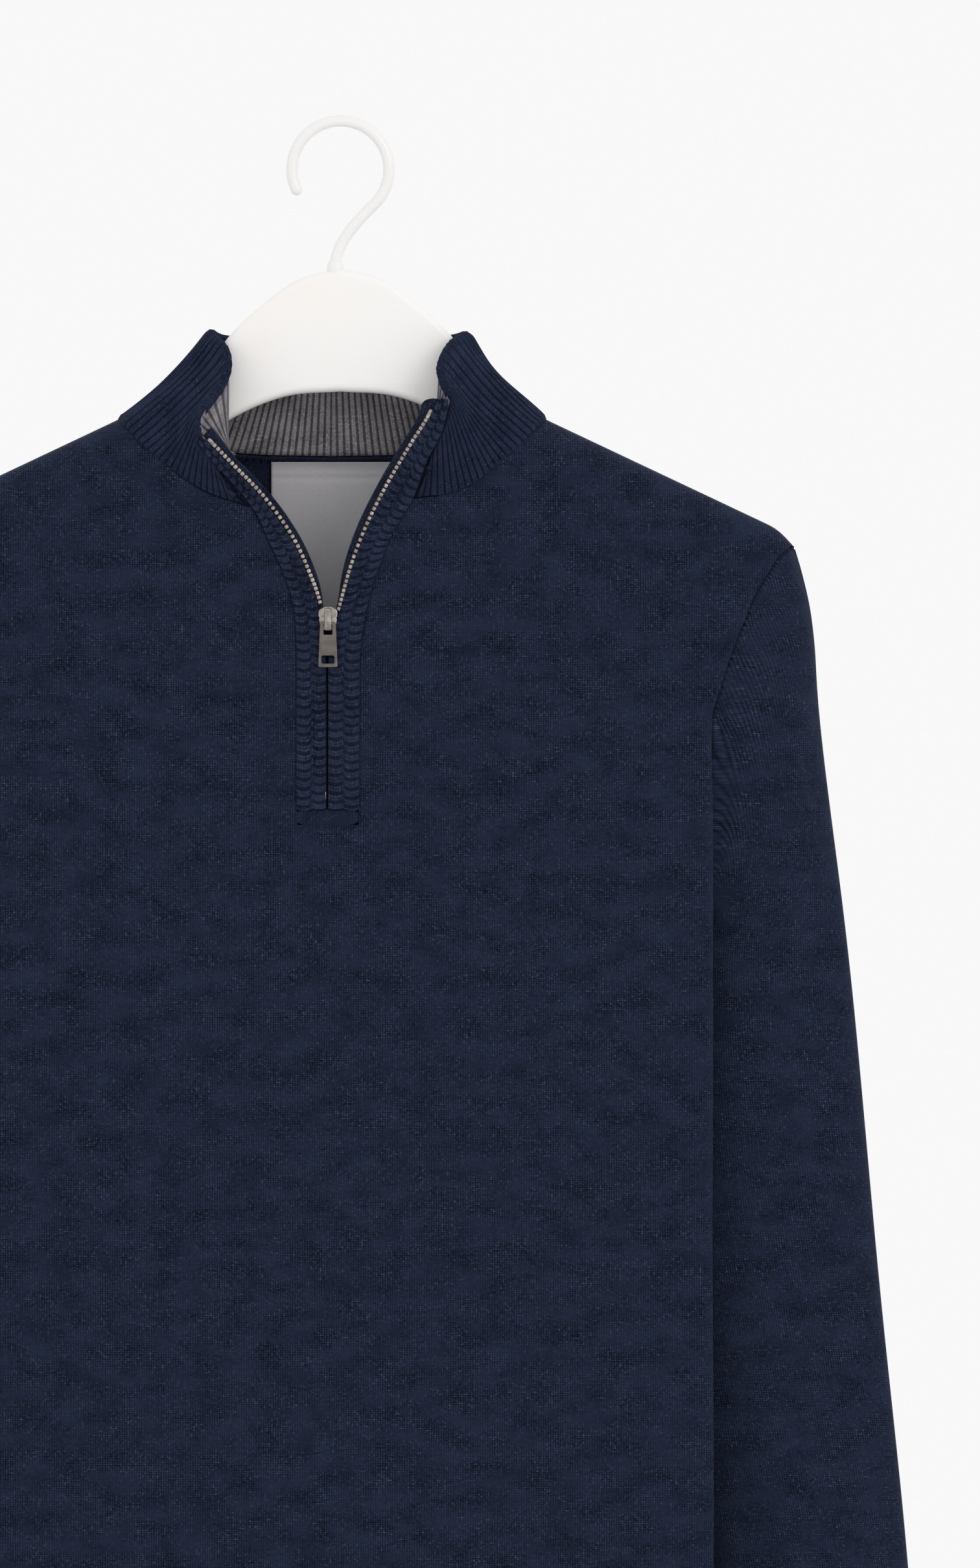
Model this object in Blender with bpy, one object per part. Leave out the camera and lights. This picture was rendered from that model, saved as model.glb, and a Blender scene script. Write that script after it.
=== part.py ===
"""Quarter zip sweater on a clothes hanger: fine navy knit, rib collar, zip placket, rib hem and cuffs.

Metres, +Z up, front towards -Y. The origin is the hook's seat, the inside of the hook's top, where
a rail carries it. Pieces are worked out as a maker would cut them, in millimetres across from the
garment's centre line and up from the point where shoulder meets collar, then draped.
"""

import math

import bmesh
import bpy
from mathutils import Vector

MM = 0.001

# Where the garment hangs under the hook's seat.
SHOULDER_POINT_Z = -153.7 * MM
CENTRE_X = -4.3 * MM

# Cloth.
KNIT = 2.0 * MM
RIB_KNIT = 2.2 * MM
FACING_KNIT = 1.5 * MM
SEAM_GAP = 0.3 * MM
HALF_GAP = 0.15
NORMAL_STEP = 0.002
SHARP_ANGLE = 50.0

# Body, in millimetres from the centre line and the shoulder point.
NECK_HALF = 109.0
NECK_RISE = 3.3
TIP_HALF = 237.0
TIP_DROP = -62.0
TIP_ROUND = 12.0
TIP_ROUND_DROP = 4.8
UNDERARM_DROP = -270.0
HEM_TOP = -640.0
HEM_END = -700.0
FOLD_START = 190.0
FOLD_RADIUS = 6.0
FOLD_AWAY = 52.0
FOLD_FROM = -150.0
FOLD_TO = -95.0
SIDE_SEAM = 221.0
SIDE_SEAM_X = 177.9
SLOT_HALF_LEFT = 17.6
SLOT_HALF_RIGHT = 13.6
SLOT_END = -206.0
STRIP_END = -198.0

# How far the front and back fall away from the shoulder ridge.
SHOULDER_ROLL = 14.0
ROLL_DROP = 12.0
FRONT_FALL = 25.0
BACK_FALL = 20.0
FALL_DROP = 75.0
HANG_DROP = 260.0
FRONT_HANG = 5.0

# The front's sides curve back a little below the chest, and its middle ripples.
FRONT_CROWN = 3.0
CROWN_FROM = 80.0
RIPPLE_DEPTH = 1.1
RIPPLE_SHORT = 31.0
RIPPLE_LONG = 57.0
RIPPLE_SLANT = 240.0
RIPPLE_PHASE = 0.7
RIPPLE_FROM = 150.0
RIPPLE_TO = 420.0

# The back's sides lie close behind the front, which leaves the sleeves their place.
WING_GAP = 12.0
WING_INNER = 92.0
WING_OUTER = 134.0
WING_FROM = -110.0
WING_TO = -262.0
BACK_MIDDLE = 33.0
BACK_FOLDS = 5
BACK_FOLD_DEPTH = 4.5
BACK_FOLD_SWAY = 0.4
BACK_FOLD_SLANT = 170.0
BACK_FOLDS_FROM = 190.0
BACK_FOLDS_TO = 420.0

# Cells of the flat pieces. The front's columns close up round its side fold.
FRONT_NECK_CELLS = 6
FRONT_SIDE_CELLS = 6
FRONT_FOLD_SHARES = (0.0, 6.3, 12.6, 18.8, 31.0)
FRONT_SLOT_CELLS = 2
FRONT_ROWS = 18
FRONT_SLOT_ROWS = 7
FRONT_HALF_CELLS = FRONT_NECK_CELLS + FRONT_SIDE_CELLS + len(FRONT_FOLD_SHARES) - 1
FRONT_CELLS = 2 * FRONT_HALF_CELLS + FRONT_SLOT_CELLS
BACK_CELLS = 32
BACK_ROWS = 13
FIRST_ROW_SHARE = 0.35

# Ribs.
RIB_HEIGHT = 0.7 * MM
COLLAR_RIBS = 106
HEM_RIBS = 96
CUFF_RIBS = 26
HEM_CELLS = 2 * HEM_RIBS
CUFF_CELLS = 2 * CUFF_RIBS
HEM_PULL = 0.975
FRONT_HEM_SHARE = 0.5

# Sleeves, a row for each level: outer edge, its height, inner edge, its height, half depth, centre.
SLEEVE = (
    # outer_x, outer_z, inner_x, inner_z, half_depth, centre_y
    (237.0, -62.0, 190.0, -270.0, 26.0, 2.0),
    (246.0, -96.0, 187.0, -276.0, 27.0, 5.0),
    (251.0, -148.0, 175.0, -292.0, 27.5, 8.0),
    (263.0, -248.0, 153.0, -332.0, 26.5, 9.0),
    (273.5, -350.0, 154.0, -400.0, 25.0, 8.0),
    (284.0, -460.0, 170.0, -480.0, 23.0, 7.0),
    (294.0, -560.0, 188.0, -566.0, 21.0, 5.0),
    (300.0, -628.0, 202.0, -628.0, 19.0, 4.0),
)
CUFF_END = -690.0
CUFF_OUTER = 301.0
CUFF_INNER = 211.0
CUFF_DEPTH = 17.0
SLEEVE_CELLS = 18
SLEEVE_ROWS = 13

# How a sleeve meets its armhole: its edge is feathered and stands just outside the panels' edges.
SLEEVE_FEATHER = 0.5 * MM
FEATHER_END = 0.04
SLEEVE_OFF_FRONT = 0.9
SLEEVE_OFF_BACK = 2.6
UNDERARM_BEHIND = 2.6
CAP_BLEND = 0.34
CAP_ROW_SHARE = 0.45
SECTION_POWER = 0.8

# Armhole seam of the front, and of the back, from the shoulder's tip to the underarm.
ARMHOLE_FRONT = (
    # z, x
    (-62.0, 237.0),
    (-68.0, 230.0),
    (-75.0, 225.5),
    (-89.0, 217.0),
    (-98.0, 213.5),
    (-117.0, 206.0),
    (-140.0, 199.5),
    (-165.0, 200.0),
    (-200.0, 206.0),
    (-240.0, 214.0),
    (-270.0, 221.0),
)
ARMHOLE_BACK = (
    # z, x
    (-62.0, 237.0),
    (-80.0, 219.0),
    (-110.0, 200.0),
    (-150.0, 187.0),
    (-200.0, 179.5),
    (-270.0, 177.9),
)

# Neck seam of each front, from the placket to the shoulder point, and of the back.
NECK_RIGHT = (
    # x, z
    (40.7, -38.3),
    (52.0, -37.2),
    (61.3, -35.3),
    (73.7, -29.7),
    (86.3, -18.7),
    (96.0, -10.3),
    (104.0, -2.0),
    (109.0, 3.3),
)
NECK_LEFT = (
    # x, z
    (40.0, -43.3),
    (50.7, -40.0),
    (65.3, -34.7),
    (76.7, -27.3),
    (84.0, -21.7),
    (93.0, -14.3),
    (100.3, -6.3),
    (109.0, 3.3),
)
NECK_BACK = (
    # x, z
    (0.0, -20.3),
    (50.0, -18.5),
    (80.0, -13.0),
    (98.0, -5.0),
    (109.0, 3.3),
)

# Placket strips, from the zip's foot to its top: the edge beside the zip and the sewn edge.
STRIP_RIGHT = (
    # zip_x, zip_z, sewn_x, sewn_z
    (-2.0, -198.0, 13.3, -198.0),
    (-2.0, -148.0, 13.3, -148.0),
    (-1.3, -115.0, 14.0, -115.0),
    (5.0, -92.0, 18.3, -90.0),
    (11.0, -71.0, 25.0, -69.0),
    (19.0, -50.7, 31.0, -55.0),
    (29.0, -31.0, 40.7, -38.3),
    (41.0, -10.7, 48.5, -18.5),
    (49.3, 2.3, 56.0, -4.0),
    (53.3, 11.0, 60.0, 11.0),
)
STRIP_LEFT = (
    # zip_x, zip_z, sewn_x, sewn_z, with x counted to the left
    (2.7, -198.0, 17.3, -198.0),
    (2.7, -148.0, 17.3, -148.0),
    (3.3, -115.0, 17.3, -115.0),
    (7.3, -92.0, 19.0, -93.3),
    (13.3, -75.0, 24.7, -75.0),
    (21.3, -58.3, 31.3, -61.0),
    (35.7, -38.3, 40.0, -43.3),
    (50.7, -22.7, 54.0, -26.7),
    (65.3, -7.7, 68.0, -11.7),
)

# Collar, stations from the placket to the centre back: where it leaves the neck seam, its top edge.
COLLAR_RIGHT = (
    # station, seam_x, seam_z, top_x, top_y, top_z
    (0.00, 43.1, -38.3, 48.5, -33.0, -24.5),
    (0.12, 52.0, -37.2, 53.0, -34.0, -12.5),
    (0.20, 61.3, -35.3, 58.0, -34.5, -3.5),
    (0.30, 73.7, -29.7, 61.8, -35.0, 7.0),
    (0.36, 80.3, -24.3, 62.3, -35.0, 13.5),
    (0.42, 86.3, -18.7, 60.4, -33.5, 19.8),
    (0.48, 92.3, -13.7, 57.4, -30.5, 26.0),
    (0.52, 96.0, -10.3, 56.2, -26.5, 31.5),
    (0.57, 100.2, -6.0, 58.2, -20.0, 38.5),
    (0.62, 104.0, -2.0, 62.4, -13.0, 44.3),
    (0.72, 109.0, 3.3, 69.5, 0.0, 48.8),
    (0.82, 94.0, -6.6, 61.0, 17.0, 47.0),
    (0.91, 52.0, -18.0, 35.0, 29.0, 44.5),
    (1.00, 0.0, -20.3, 0.0, 33.0, 45.5),
)
COLLAR_LEFT = (
    # station, seam_x, seam_z, top_x, top_y, top_z, with x counted to the left
    (0.00, 43.0, -43.3, 50.2, -33.0, -35.5),
    (0.12, 50.7, -40.0, 56.1, -34.0, -28.2),
    (0.20, 62.0, -36.0, 62.6, -34.5, -19.9),
    (0.30, 73.0, -30.0, 69.4, -35.0, -12.0),
    (0.36, 78.5, -26.0, 70.0, -35.0, -3.0),
    (0.42, 84.0, -21.7, 68.8, -35.0, 6.7),
    (0.48, 89.5, -17.3, 63.0, -33.0, 15.5),
    (0.52, 93.0, -14.3, 57.5, -29.0, 22.5),
    (0.57, 96.7, -10.4, 54.0, -22.0, 31.5),
    (0.62, 100.3, -6.3, 55.0, -12.0, 41.0),
    (0.72, 109.0, 3.3, 63.0, 0.0, 49.7),
    (0.82, 94.0, -6.6, 56.0, 17.0, 47.0),
    (0.91, 52.0, -18.0, 33.0, 29.0, 44.5),
    (1.00, 0.0, -20.3, 0.0, 33.0, 45.5),
)
SHOULDER_STATION = 0.72
SHOULDER_TURN = 0.04
COLLAR_CELLS = 2 * COLLAR_RIBS
COLLAR_ROWS = 3
COLLAR_LIFT = 0.8
COLLAR_BOW = 4.0
COLLAR_BOW_START = 0.3
COLLAR_BOW_END = 0.92

# The collar's grey inner face, and the cord over the back neck seam.
FACING_CELLS = 60
FACING_ROWS = 3
FACING_INSET = 0.045
FACING_START = 0.05
FACING_END = 0.975
FACING_GAP = 1.5 * MM
CORD_RADIUS = 1.0 * MM
CORD_GAP = 1.9 * MM
CORD_START = 0.19
CORD_HEIGHT = 0.018
CORD_STEPS = 24

# Placket strips stand a little proud of the front, with a groove down the middle.
STRIP_CELLS = 4
STRIP_ROWS = 30
STRIP_PROUD = 0.6
STRIP_SINK = 0.25
STRIP_TOP_Y = -35.0
STRIP_RISE = 40.0
GROOVE_HALF = 0.1

# The gathered end that closes the placket below the zip: its size, its centre, how far it stands out.
TUCK_SIZE = (30.4, 3.4, 6.9)
TUCK_CENTRE = (-2.0, -202.1)
TUCK_PROUD = 0.2
TUCK_ROUND = 1.5

# Zip tapes behind the strips. They show their tooth chain above the slider, where the zip is open.
TAPE_ROWS = 22
TAPE_BEHIND = 2.9
TAPE_WIDTH = 3.0
TAPE_THICK = 0.7 * MM
TAPE_START = 0.012
TAPE_END = 0.975
CLOSED_REACH = -0.1
OPEN_REACH = 3.3
FIRST_OPEN_ROW = 2
CHAIN_PROUD = 1.3
CHAIN_WIDTH = 0.3

# Slider, its bridge, and the pull tab that hangs on the bridge's lower bar.
SLIDER_X = -1.9
SLIDER_TOP = -94.0
SLIDER_BACK = -41.2
SLIDER_PLATE = 2.2
SLIDER_HALF = 5.0
SLIDER_LENGTH = 12.0
BRIDGE_WIDTH = 3.4
BRIDGE_RISE = 4.2
BRIDGE_WALL = 1.1
BRIDGE_TOP = -95.0
BRIDGE_END = -105.4
BAR_Z = -102.4
BAR_HALF = 0.75
TAB_GAP = 1.25
TAB_END_Z = -125.0
TAB_THICK = 1.3
TAB_HALF_TOP = 4.1
TAB_HALF_END = 5.0
TAB_ROUND = 0.35
TAB_SLOT = (BRIDGE_WIDTH + 1.2, 8.0, 5.2)
TAB_WINDOW = (6.8, 8.0, 4.2)
TAB_WINDOW_UP = 3.9

# Label, sewn under the back neck seam.
LABEL_TOP = -18.9
LABEL_LENGTH = 79.0
LABEL_LEFT = -31.5
LABEL_RIGHT = 31.5
LABEL_THICK = 0.6
LABEL_OFF = 1.0
LABEL_LEAN = 5.0

# Hanger.
PLATE_HALF_THICK = 5.0
PLATE_EDGE = 1.6
WIRE_RADIUS = 3.0 * MM
HOOK_RADIUS = 25.0
HANGER_TOP = (
    # x, z down from the hook's seat
    (0.0, -73.0),
    (20.0, -78.0),
    (36.0, -88.3),
    (57.0, -107.7),
    (79.0, -137.0),
    (95.0, -157.0),
    (112.0, -168.0),
    (160.0, -187.0),
    (196.0, -202.0),
)
HANGER_UNDER = (
    # x, z down from the hook's seat
    (207.0, -211.0),
    (203.0, -220.0),
    (190.0, -221.0),
    (150.0, -208.0),
    (110.0, -190.0),
    (80.0, -168.0),
    (55.0, -150.0),
    (28.0, -139.0),
    (0.0, -136.5),
)

# The hook's circle and its neck. The origin is the inside of the circle's top.
HOOK_CENTRE_Z = -HOOK_RADIUS + WIRE_RADIUS / MM
HOOK_JOIN = -45.0
HOOK_TIP = 205.0
NECK_X = -2.7
NECK_FOOT = HANGER_TOP[0][1] + 0.6
NECK_RUN = 13.0
SWEEP_PULL = 11.0
NECK_STEPS = 8
HOOK_STEPS = 18
CURVE_WELD = 1e-5

COLOURS = {
    # name: (red, green, blue), roughness, metallic
    "navy_knit": ((0.014, 0.020, 0.039), 0.90, 0.0),
    "navy_rib": ((0.011, 0.015, 0.030), 0.92, 0.0),
    "grey_rib": ((0.062, 0.058, 0.066), 0.92, 0.0),
    "navy_cord": ((0.008, 0.011, 0.022), 0.90, 0.0),
    "zip_tape": ((0.004, 0.004, 0.006), 0.85, 0.0),
    "zip_metal": ((0.62, 0.58, 0.54), 0.28, 1.0),
    "tab_metal": ((0.16, 0.14, 0.125), 0.38, 1.0),
    "satin_label": ((0.40, 0.39, 0.41), 0.50, 0.0),
    "hanger_white": ((0.82, 0.80, 0.79), 0.35, 0.0),
    "hook_white": ((0.84, 0.83, 0.82), 0.30, 0.0),
}


def clear_scene():
    for old in list(bpy.data.objects):
        bpy.data.objects.remove(old, do_unlink=True)


def material(name):
    made = bpy.data.materials.get(name)
    if made:
        return made
    colour, roughness, metallic = COLOURS[name]
    made = bpy.data.materials.new(name)
    made.use_nodes = True
    shader = made.node_tree.nodes["Principled BSDF"]
    shader.inputs["Base Color"].default_value = (*colour, 1.0)
    shader.inputs["Roughness"].default_value = roughness
    shader.inputs["Metallic"].default_value = metallic
    made.diffuse_color = (*colour, 1.0)
    return made


def smooth(value, start, end):
    """0 before start, 1 after end, and an even S between."""
    share = min(max((value - start) / (end - start), 0.0), 1.0)
    return share * share * (3.0 - 2.0 * share)


def mix(first, second, share):
    return first + (second - first) * share


def follow(table, column, at, key=0):
    """Reads a column of a table at a value of its key column, on a smooth curve through the rows."""
    rows = sorted(table, key=lambda row: row[key])
    at = min(max(at, rows[0][key]), rows[-1][key])
    last = len(rows) - 1
    low = max(index for index in range(last) if rows[index][key] <= at or index == 0)
    before, here = rows[max(low - 1, 0)], rows[low]
    there, after = rows[low + 1], rows[min(low + 2, last)]
    span = there[key] - here[key]
    share = (at - here[key]) / span
    start_slope = (there[column] - before[column]) / (there[key] - before[key]) * span
    end_slope = (after[column] - here[column]) / (after[key] - here[key]) * span
    square, cube = share * share, share**3
    return (
        (2 * cube - 3 * square + 1) * here[column]
        + (cube - 2 * square + share) * start_slope
        + (3 * square - 2 * cube) * there[column]
        + (cube - square) * end_slope
    )


def along(table, columns, share):
    """Reads several columns of a table at a share of its rows, so that the key is the row number."""
    rows = [(index / (len(table) - 1), *row) for index, row in enumerate(table)]
    return [follow(rows, column + 1, share) for column in columns]


# ---------------------------------------------------------------- the draped body


def shoulder_z(x):
    """The shoulder line's height: straight from the neck, and rounded down at the shoulder's tip."""
    slope = (TIP_DROP + TIP_ROUND_DROP - NECK_RISE) / (TIP_HALF - NECK_HALF)
    past = max(x - TIP_HALF + TIP_ROUND, 0.0) / TIP_ROUND
    return NECK_RISE + slope * (x - NECK_HALF) - TIP_ROUND_DROP * past**2


def below_shoulder(x, z):
    """How far a point lies below the shoulder line, in millimetres."""
    return max(shoulder_z(abs(x)) - z, 0.0)


def fall(x, z, depth):
    drop = below_shoulder(x, z)
    turn = 1.0 - min(drop / ROLL_DROP, 1.0)
    rolled = SHOULDER_ROLL * math.sqrt(1.0 - turn * turn)
    return SEAM_GAP / MM / 2.0 + rolled + depth * (1.0 - math.exp(-drop / FALL_DROP))


def front_y(x, z):
    hang = FRONT_HANG * smooth(below_shoulder(x, z), 0.0, HANG_DROP)
    crown = FRONT_CROWN * (abs(x) / FOLD_START) ** 2 * smooth(-z, CROWN_FROM, HANG_DROP)
    short = math.sin(x / RIPPLE_SHORT + z / RIPPLE_SLANT)
    long = math.sin(x / RIPPLE_LONG + RIPPLE_PHASE)
    ripple = RIPPLE_DEPTH * short * long * smooth(-z, RIPPLE_FROM, RIPPLE_TO)
    return -fall(x, z, FRONT_FALL) - hang + crown + ripple


def back_y(x, z):
    upper = fall(x, z, BACK_FALL)
    sway = BACK_FOLD_SWAY * math.sin(z / BACK_FOLD_SLANT)
    folds = BACK_FOLD_DEPTH * math.cos(math.pi * BACK_FOLDS * x / WING_OUTER + sway)
    middle = BACK_MIDDLE + folds * smooth(-z, BACK_FOLDS_FROM, BACK_FOLDS_TO)
    wing = front_y(min(abs(x), FOLD_START), z) + WING_GAP
    lower = mix(middle, wing, smooth(abs(x), WING_INNER, WING_OUTER))
    return mix(upper, lower, smooth(-z, -WING_FROM, -WING_TO))


def fold_start(z):
    """Where the front begins to turn back at its side; above the armhole's waist it never does."""
    return FOLD_START + FOLD_AWAY * smooth(z, FOLD_FROM, FOLD_TO)


def front_point(across, z):
    """The front's outer face, from its distance across the flat piece and its height."""
    side = 1.0 if across >= 0.0 else -1.0
    flat, turn_at = abs(across), fold_start(z)
    if flat <= turn_at:
        return Vector((across, front_y(across, z), z))
    level = front_y(side * turn_at, z)
    turn = (flat - turn_at) / FOLD_RADIUS
    if turn <= math.pi:
        x = turn_at + FOLD_RADIUS * math.sin(turn)
        return Vector((side * x, level + FOLD_RADIUS * (1.0 - math.cos(turn)), z))
    x = turn_at - FOLD_RADIUS * (turn - math.pi)
    return Vector((side * x, level + 2.0 * FOLD_RADIUS, z))


def back_point(x, z):
    return Vector((x, back_y(x, z), z))


def in_frame(point):
    """From millimetres at the garment's shoulder point to metres at the hook's seat."""
    return Vector((point[0] * MM + CENTRE_X, point[1] * MM, point[2] * MM + SHOULDER_POINT_Z))


# ---------------------------------------------------------------- making walls


def collection(name):
    made = bpy.data.collections.get(name)
    if not made:
        made = bpy.data.collections.new(name)
        bpy.context.scene.collection.children.link(made)
    return made


def keep(mesh, name, finish, soft=True):
    """Turns a bmesh into the named object."""
    data = bpy.data.meshes.new(name)
    mesh.to_mesh(data)
    mesh.free()
    data.materials.append(material(finish))
    made = bpy.data.objects.new(name, data)
    collection("quarter_zip_sweater").objects.link(made)
    if soft:
        data.shade_smooth()
        data.set_sharp_from_angle(angle=math.radians(SHARP_ANGLE))
    return made


def outward(place, u, v, around):
    """The unit normal of a placed surface, on the side from which u runs to the right and v up."""
    step = NORMAL_STEP
    left, right = u - step, u + step
    if not around:
        left, right = max(left, 0.0), min(right, 1.0)
    low, high = max(v - step, 0.0), min(v + step, 1.0)
    across = place(right % 1.0 if around else right, v) - place(left % 1.0 if around else left, v)
    rise = place(u, high) - place(u, low)
    return across.cross(rise).normalized()


def cloth_wall(name, finish, cells, place, thick, raised=None, around=False, cut=None):
    """A closed wall: a flat grid of cells, thickened by an extrusion, its two faces then placed.

    place(u, v) gives the outer face in the frame. raised(u, v) lifts it, over a plain inner face.
    """
    mesh = bmesh.new()
    bmesh.ops.create_grid(mesh, x_segments=cells[0], y_segments=cells[1], size=0.5)
    if cut:
        middles = [(face, face.calc_center_median()) for face in mesh.faces]
        gone = [face for face, middle in middles if cut(middle.x + 0.5, middle.y + 0.5)]
        bmesh.ops.delete(mesh, geom=gone, context="FACES")
    if around:
        starts = {round(vert.co.y, 5): vert for vert in mesh.verts if vert.co.x < -0.4999}
        ends = [vert for vert in mesh.verts if vert.co.x > 0.4999]
        bmesh.ops.weld_verts(mesh, targetmap={vert: starts[round(vert.co.y, 5)] for vert in ends})
    inner = list(mesh.verts)
    grown = bmesh.ops.extrude_face_region(mesh, geom=mesh.faces[:], use_keep_orig=True)
    outer = [item for item in grown["geom"] if isinstance(item, bmesh.types.BMVert)]
    for verts, is_inner in ((inner, True), (outer, False)):
        for vert in verts:
            u, v = vert.co.x + 0.5, vert.co.y + 0.5
            if is_inner:
                lift = -thick(u, v) if callable(thick) else -thick
            else:
                lift = raised(u, v) if raised else 0.0
            vert.co = place(u, v) + outward(place, u, v, around) * lift
    bmesh.ops.recalc_face_normals(mesh, faces=mesh.faces[:])
    return keep(mesh, name, finish)


def ribs(count):
    """Raised ribs that run from edge to edge of a wall, one crest to each."""
    return lambda u, v: RIB_HEIGHT * (0.5 - 0.5 * math.cos(2.0 * math.pi * count * u))


# ---------------------------------------------------------------- panels


def sewn_edge(side, z):
    """Where the placket's sewn edge lies, below the neck seam."""
    table = STRIP_RIGHT if side > 0 else STRIP_LEFT
    return follow(table[:7], 2, z, key=3)


def neck_z(side, x):
    return follow(NECK_RIGHT if side > 0 else NECK_LEFT, 1, x)


def front_share(cell):
    """Share of the way from placket to side, with columns at the shoulder point and round the fold."""
    start = STRIP_LEFT[6][2]
    at_neck = (NECK_HALF - start) / (TIP_HALF - start)
    if cell <= FRONT_NECK_CELLS:
        return at_neck * cell / FRONT_NECK_CELLS
    at_fold = FOLD_START / SIDE_SEAM
    cell -= FRONT_NECK_CELLS
    if cell <= FRONT_SIDE_CELLS:
        return mix(at_neck, at_fold, cell / FRONT_SIDE_CELLS)
    cell -= FRONT_SIDE_CELLS
    low = min(int(cell + 1e-6), len(FRONT_FOLD_SHARES) - 2)
    return at_fold + mix(FRONT_FOLD_SHARES[low], FRONT_FOLD_SHARES[low + 1], cell - low) / SIDE_SEAM


def row_ease(share):
    """Brings the first rows below the shoulder closer together, where the cloth rolls over."""
    return share * (FIRST_ROW_SHARE + (1.0 - FIRST_ROW_SHARE) * share)


def front_place(u, v):
    """The front's outer face; v runs down from the shoulders to the hem's top."""
    column, row = (u * FRONT_CELLS) - FRONT_CELLS / 2.0, v * FRONT_ROWS
    side = 1.0 if column >= 0.0 else -1.0
    cell = abs(column) - FRONT_SLOT_CELLS / 2.0
    slot = SLOT_HALF_RIGHT if side > 0 else SLOT_HALF_LEFT
    if cell < 0.0:
        below = max(row - FRONT_SLOT_ROWS, 0.0) / (FRONT_ROWS - FRONT_SLOT_ROWS)
        z = mix(SLOT_END, HEM_TOP + HALF_GAP, below)
        across = slot * (1.0 + cell / (FRONT_SLOT_CELLS / 2.0))
        return in_frame(front_point(side * across, z))
    share = front_share(cell)
    start = follow(NECK_RIGHT if side > 0 else NECK_LEFT, 0, 0.0)
    top_x = mix(start, TIP_HALF, share)
    top = neck_z(side, top_x) if top_x < NECK_HALF else shoulder_z(top_x)
    if row <= FRONT_SLOT_ROWS:
        z = mix(top, SLOT_END, row_ease(row / FRONT_SLOT_ROWS))
    else:
        z = mix(SLOT_END, HEM_TOP + HALF_GAP, (row - FRONT_SLOT_ROWS) / (FRONT_ROWS - FRONT_SLOT_ROWS))
    inner = sewn_edge(side, z) + SEAM_GAP / MM
    outer = follow(ARMHOLE_FRONT, 1, z) - HALF_GAP
    if z <= STRIP_END:
        inner = max(inner, slot)
    across = mix(inner, outer, share)
    return in_frame(front_point(side * across, z))


def make_front():
    slot = FRONT_SLOT_ROWS / FRONT_ROWS
    half = FRONT_SLOT_CELLS / 2.0 / FRONT_CELLS
    cells = (FRONT_CELLS, FRONT_ROWS)
    flip = lambda u, v: front_place(u, 1.0 - v)
    cut = lambda u, v: abs(u - 0.5) < half and 1.0 - v < slot
    return cloth_wall("front_body", "navy_knit", cells, flip, KNIT, cut=cut)


def back_place(u, v):
    """The back's outer face, seen from behind; v runs up from the hem's top to the shoulders."""
    share = 1.0 - 2.0 * u
    at_neck = NECK_HALF / TIP_HALF
    half = abs(share)
    evened = half / 0.5 * at_neck if half <= 0.5 else mix(at_neck, 1.0, (half - 0.5) / 0.5)
    top_x = evened * TIP_HALF
    top = (follow(NECK_BACK, 1, top_x) if top_x < NECK_HALF else shoulder_z(top_x))
    z = mix(top, HEM_TOP + HALF_GAP, row_ease(1.0 - v))
    x = evened * (follow(ARMHOLE_BACK, 1, z) - HALF_GAP)
    return in_frame(back_point(math.copysign(x, share), z))


def make_back():
    return cloth_wall("back_body", "navy_knit", (BACK_CELLS, BACK_ROWS), back_place, KNIT)


# ---------------------------------------------------------------- sleeves


def section_point(angle, row):
    """A point of a sleeve section. Angle 0 is its outer edge, a quarter turn its front."""
    outer_x, outer_z, inner_x, inner_z, half_depth, centre_y = row
    reach, depth = math.cos(angle), math.sin(angle)
    x = mix(inner_x, outer_x, 0.5 + 0.5 * reach)
    z = mix(inner_z, outer_z, 0.5 + 0.5 * reach)
    return Vector((x, centre_y - half_depth * math.copysign(abs(depth) ** SECTION_POWER, depth), z))


def armhole_point(angle):
    """A point of the armhole, just outside the panels' edges, at a sleeve section's angle."""
    share = 0.5 - 0.5 * math.cos(angle)
    z = mix(TIP_DROP, UNDERARM_DROP, share)
    if angle <= math.pi:
        point = front_point(follow(ARMHOLE_FRONT, 1, z) + SLEEVE_OFF_FRONT, z)
    else:
        off = mix(SLEEVE_OFF_FRONT, SLEEVE_OFF_BACK, smooth(share, 0.0, 0.5))
        point = back_point(follow(ARMHOLE_BACK, 1, z) + off, z)
    # At the underarm the sleeve stands just behind the side seam.
    point.y += UNDERARM_BEHIND * smooth(share, 0.8, 1.0)
    return point


def sleeve_place(side):
    def place(u, v):
        angle = 2.0 * math.pi * (u if side > 0 else 1.0 - u) % (2.0 * math.pi)
        # The rows close up towards the armhole.
        share = v * (CAP_ROW_SHARE + (1.0 - CAP_ROW_SHARE) * v)
        point = section_point(angle, along(SLEEVE, range(6), share))
        away = armhole_point(angle) - section_point(angle, SLEEVE[0])
        point += away * (1.0 - smooth(share, 0.0, CAP_BLEND))
        return in_frame((side * point.x, point.y, point.z))

    return place


def make_sleeve(side, name):
    thick = lambda u, v: mix(SLEEVE_FEATHER, KNIT, min(v / FEATHER_END, 1.0))
    cells = (SLEEVE_CELLS, SLEEVE_ROWS)
    return cloth_wall(name, "navy_knit", cells, sleeve_place(side), thick, around=True)


def cuff_place(side):
    last = SLEEVE[-1]
    end = (CUFF_OUTER, CUFF_END, CUFF_INNER, CUFF_END, CUFF_DEPTH, last[5])

    def place(u, v):
        angle = 2.0 * math.pi * (u if side > 0 else 1.0 - u) % (2.0 * math.pi)
        start = list(last)
        start[1] -= SEAM_GAP / MM
        start[3] -= SEAM_GAP / MM
        point = section_point(angle, [mix(low, high, v) for low, high in zip(start, end)])
        return in_frame((side * point.x, point.y, point.z))

    return place


def make_cuff(side, name):
    cells = (CUFF_CELLS, 1)
    return cloth_wall(name, "navy_rib", cells, cuff_place(side), KNIT, ribs(CUFF_RIBS), around=True)


# ---------------------------------------------------------------- hem


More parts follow.
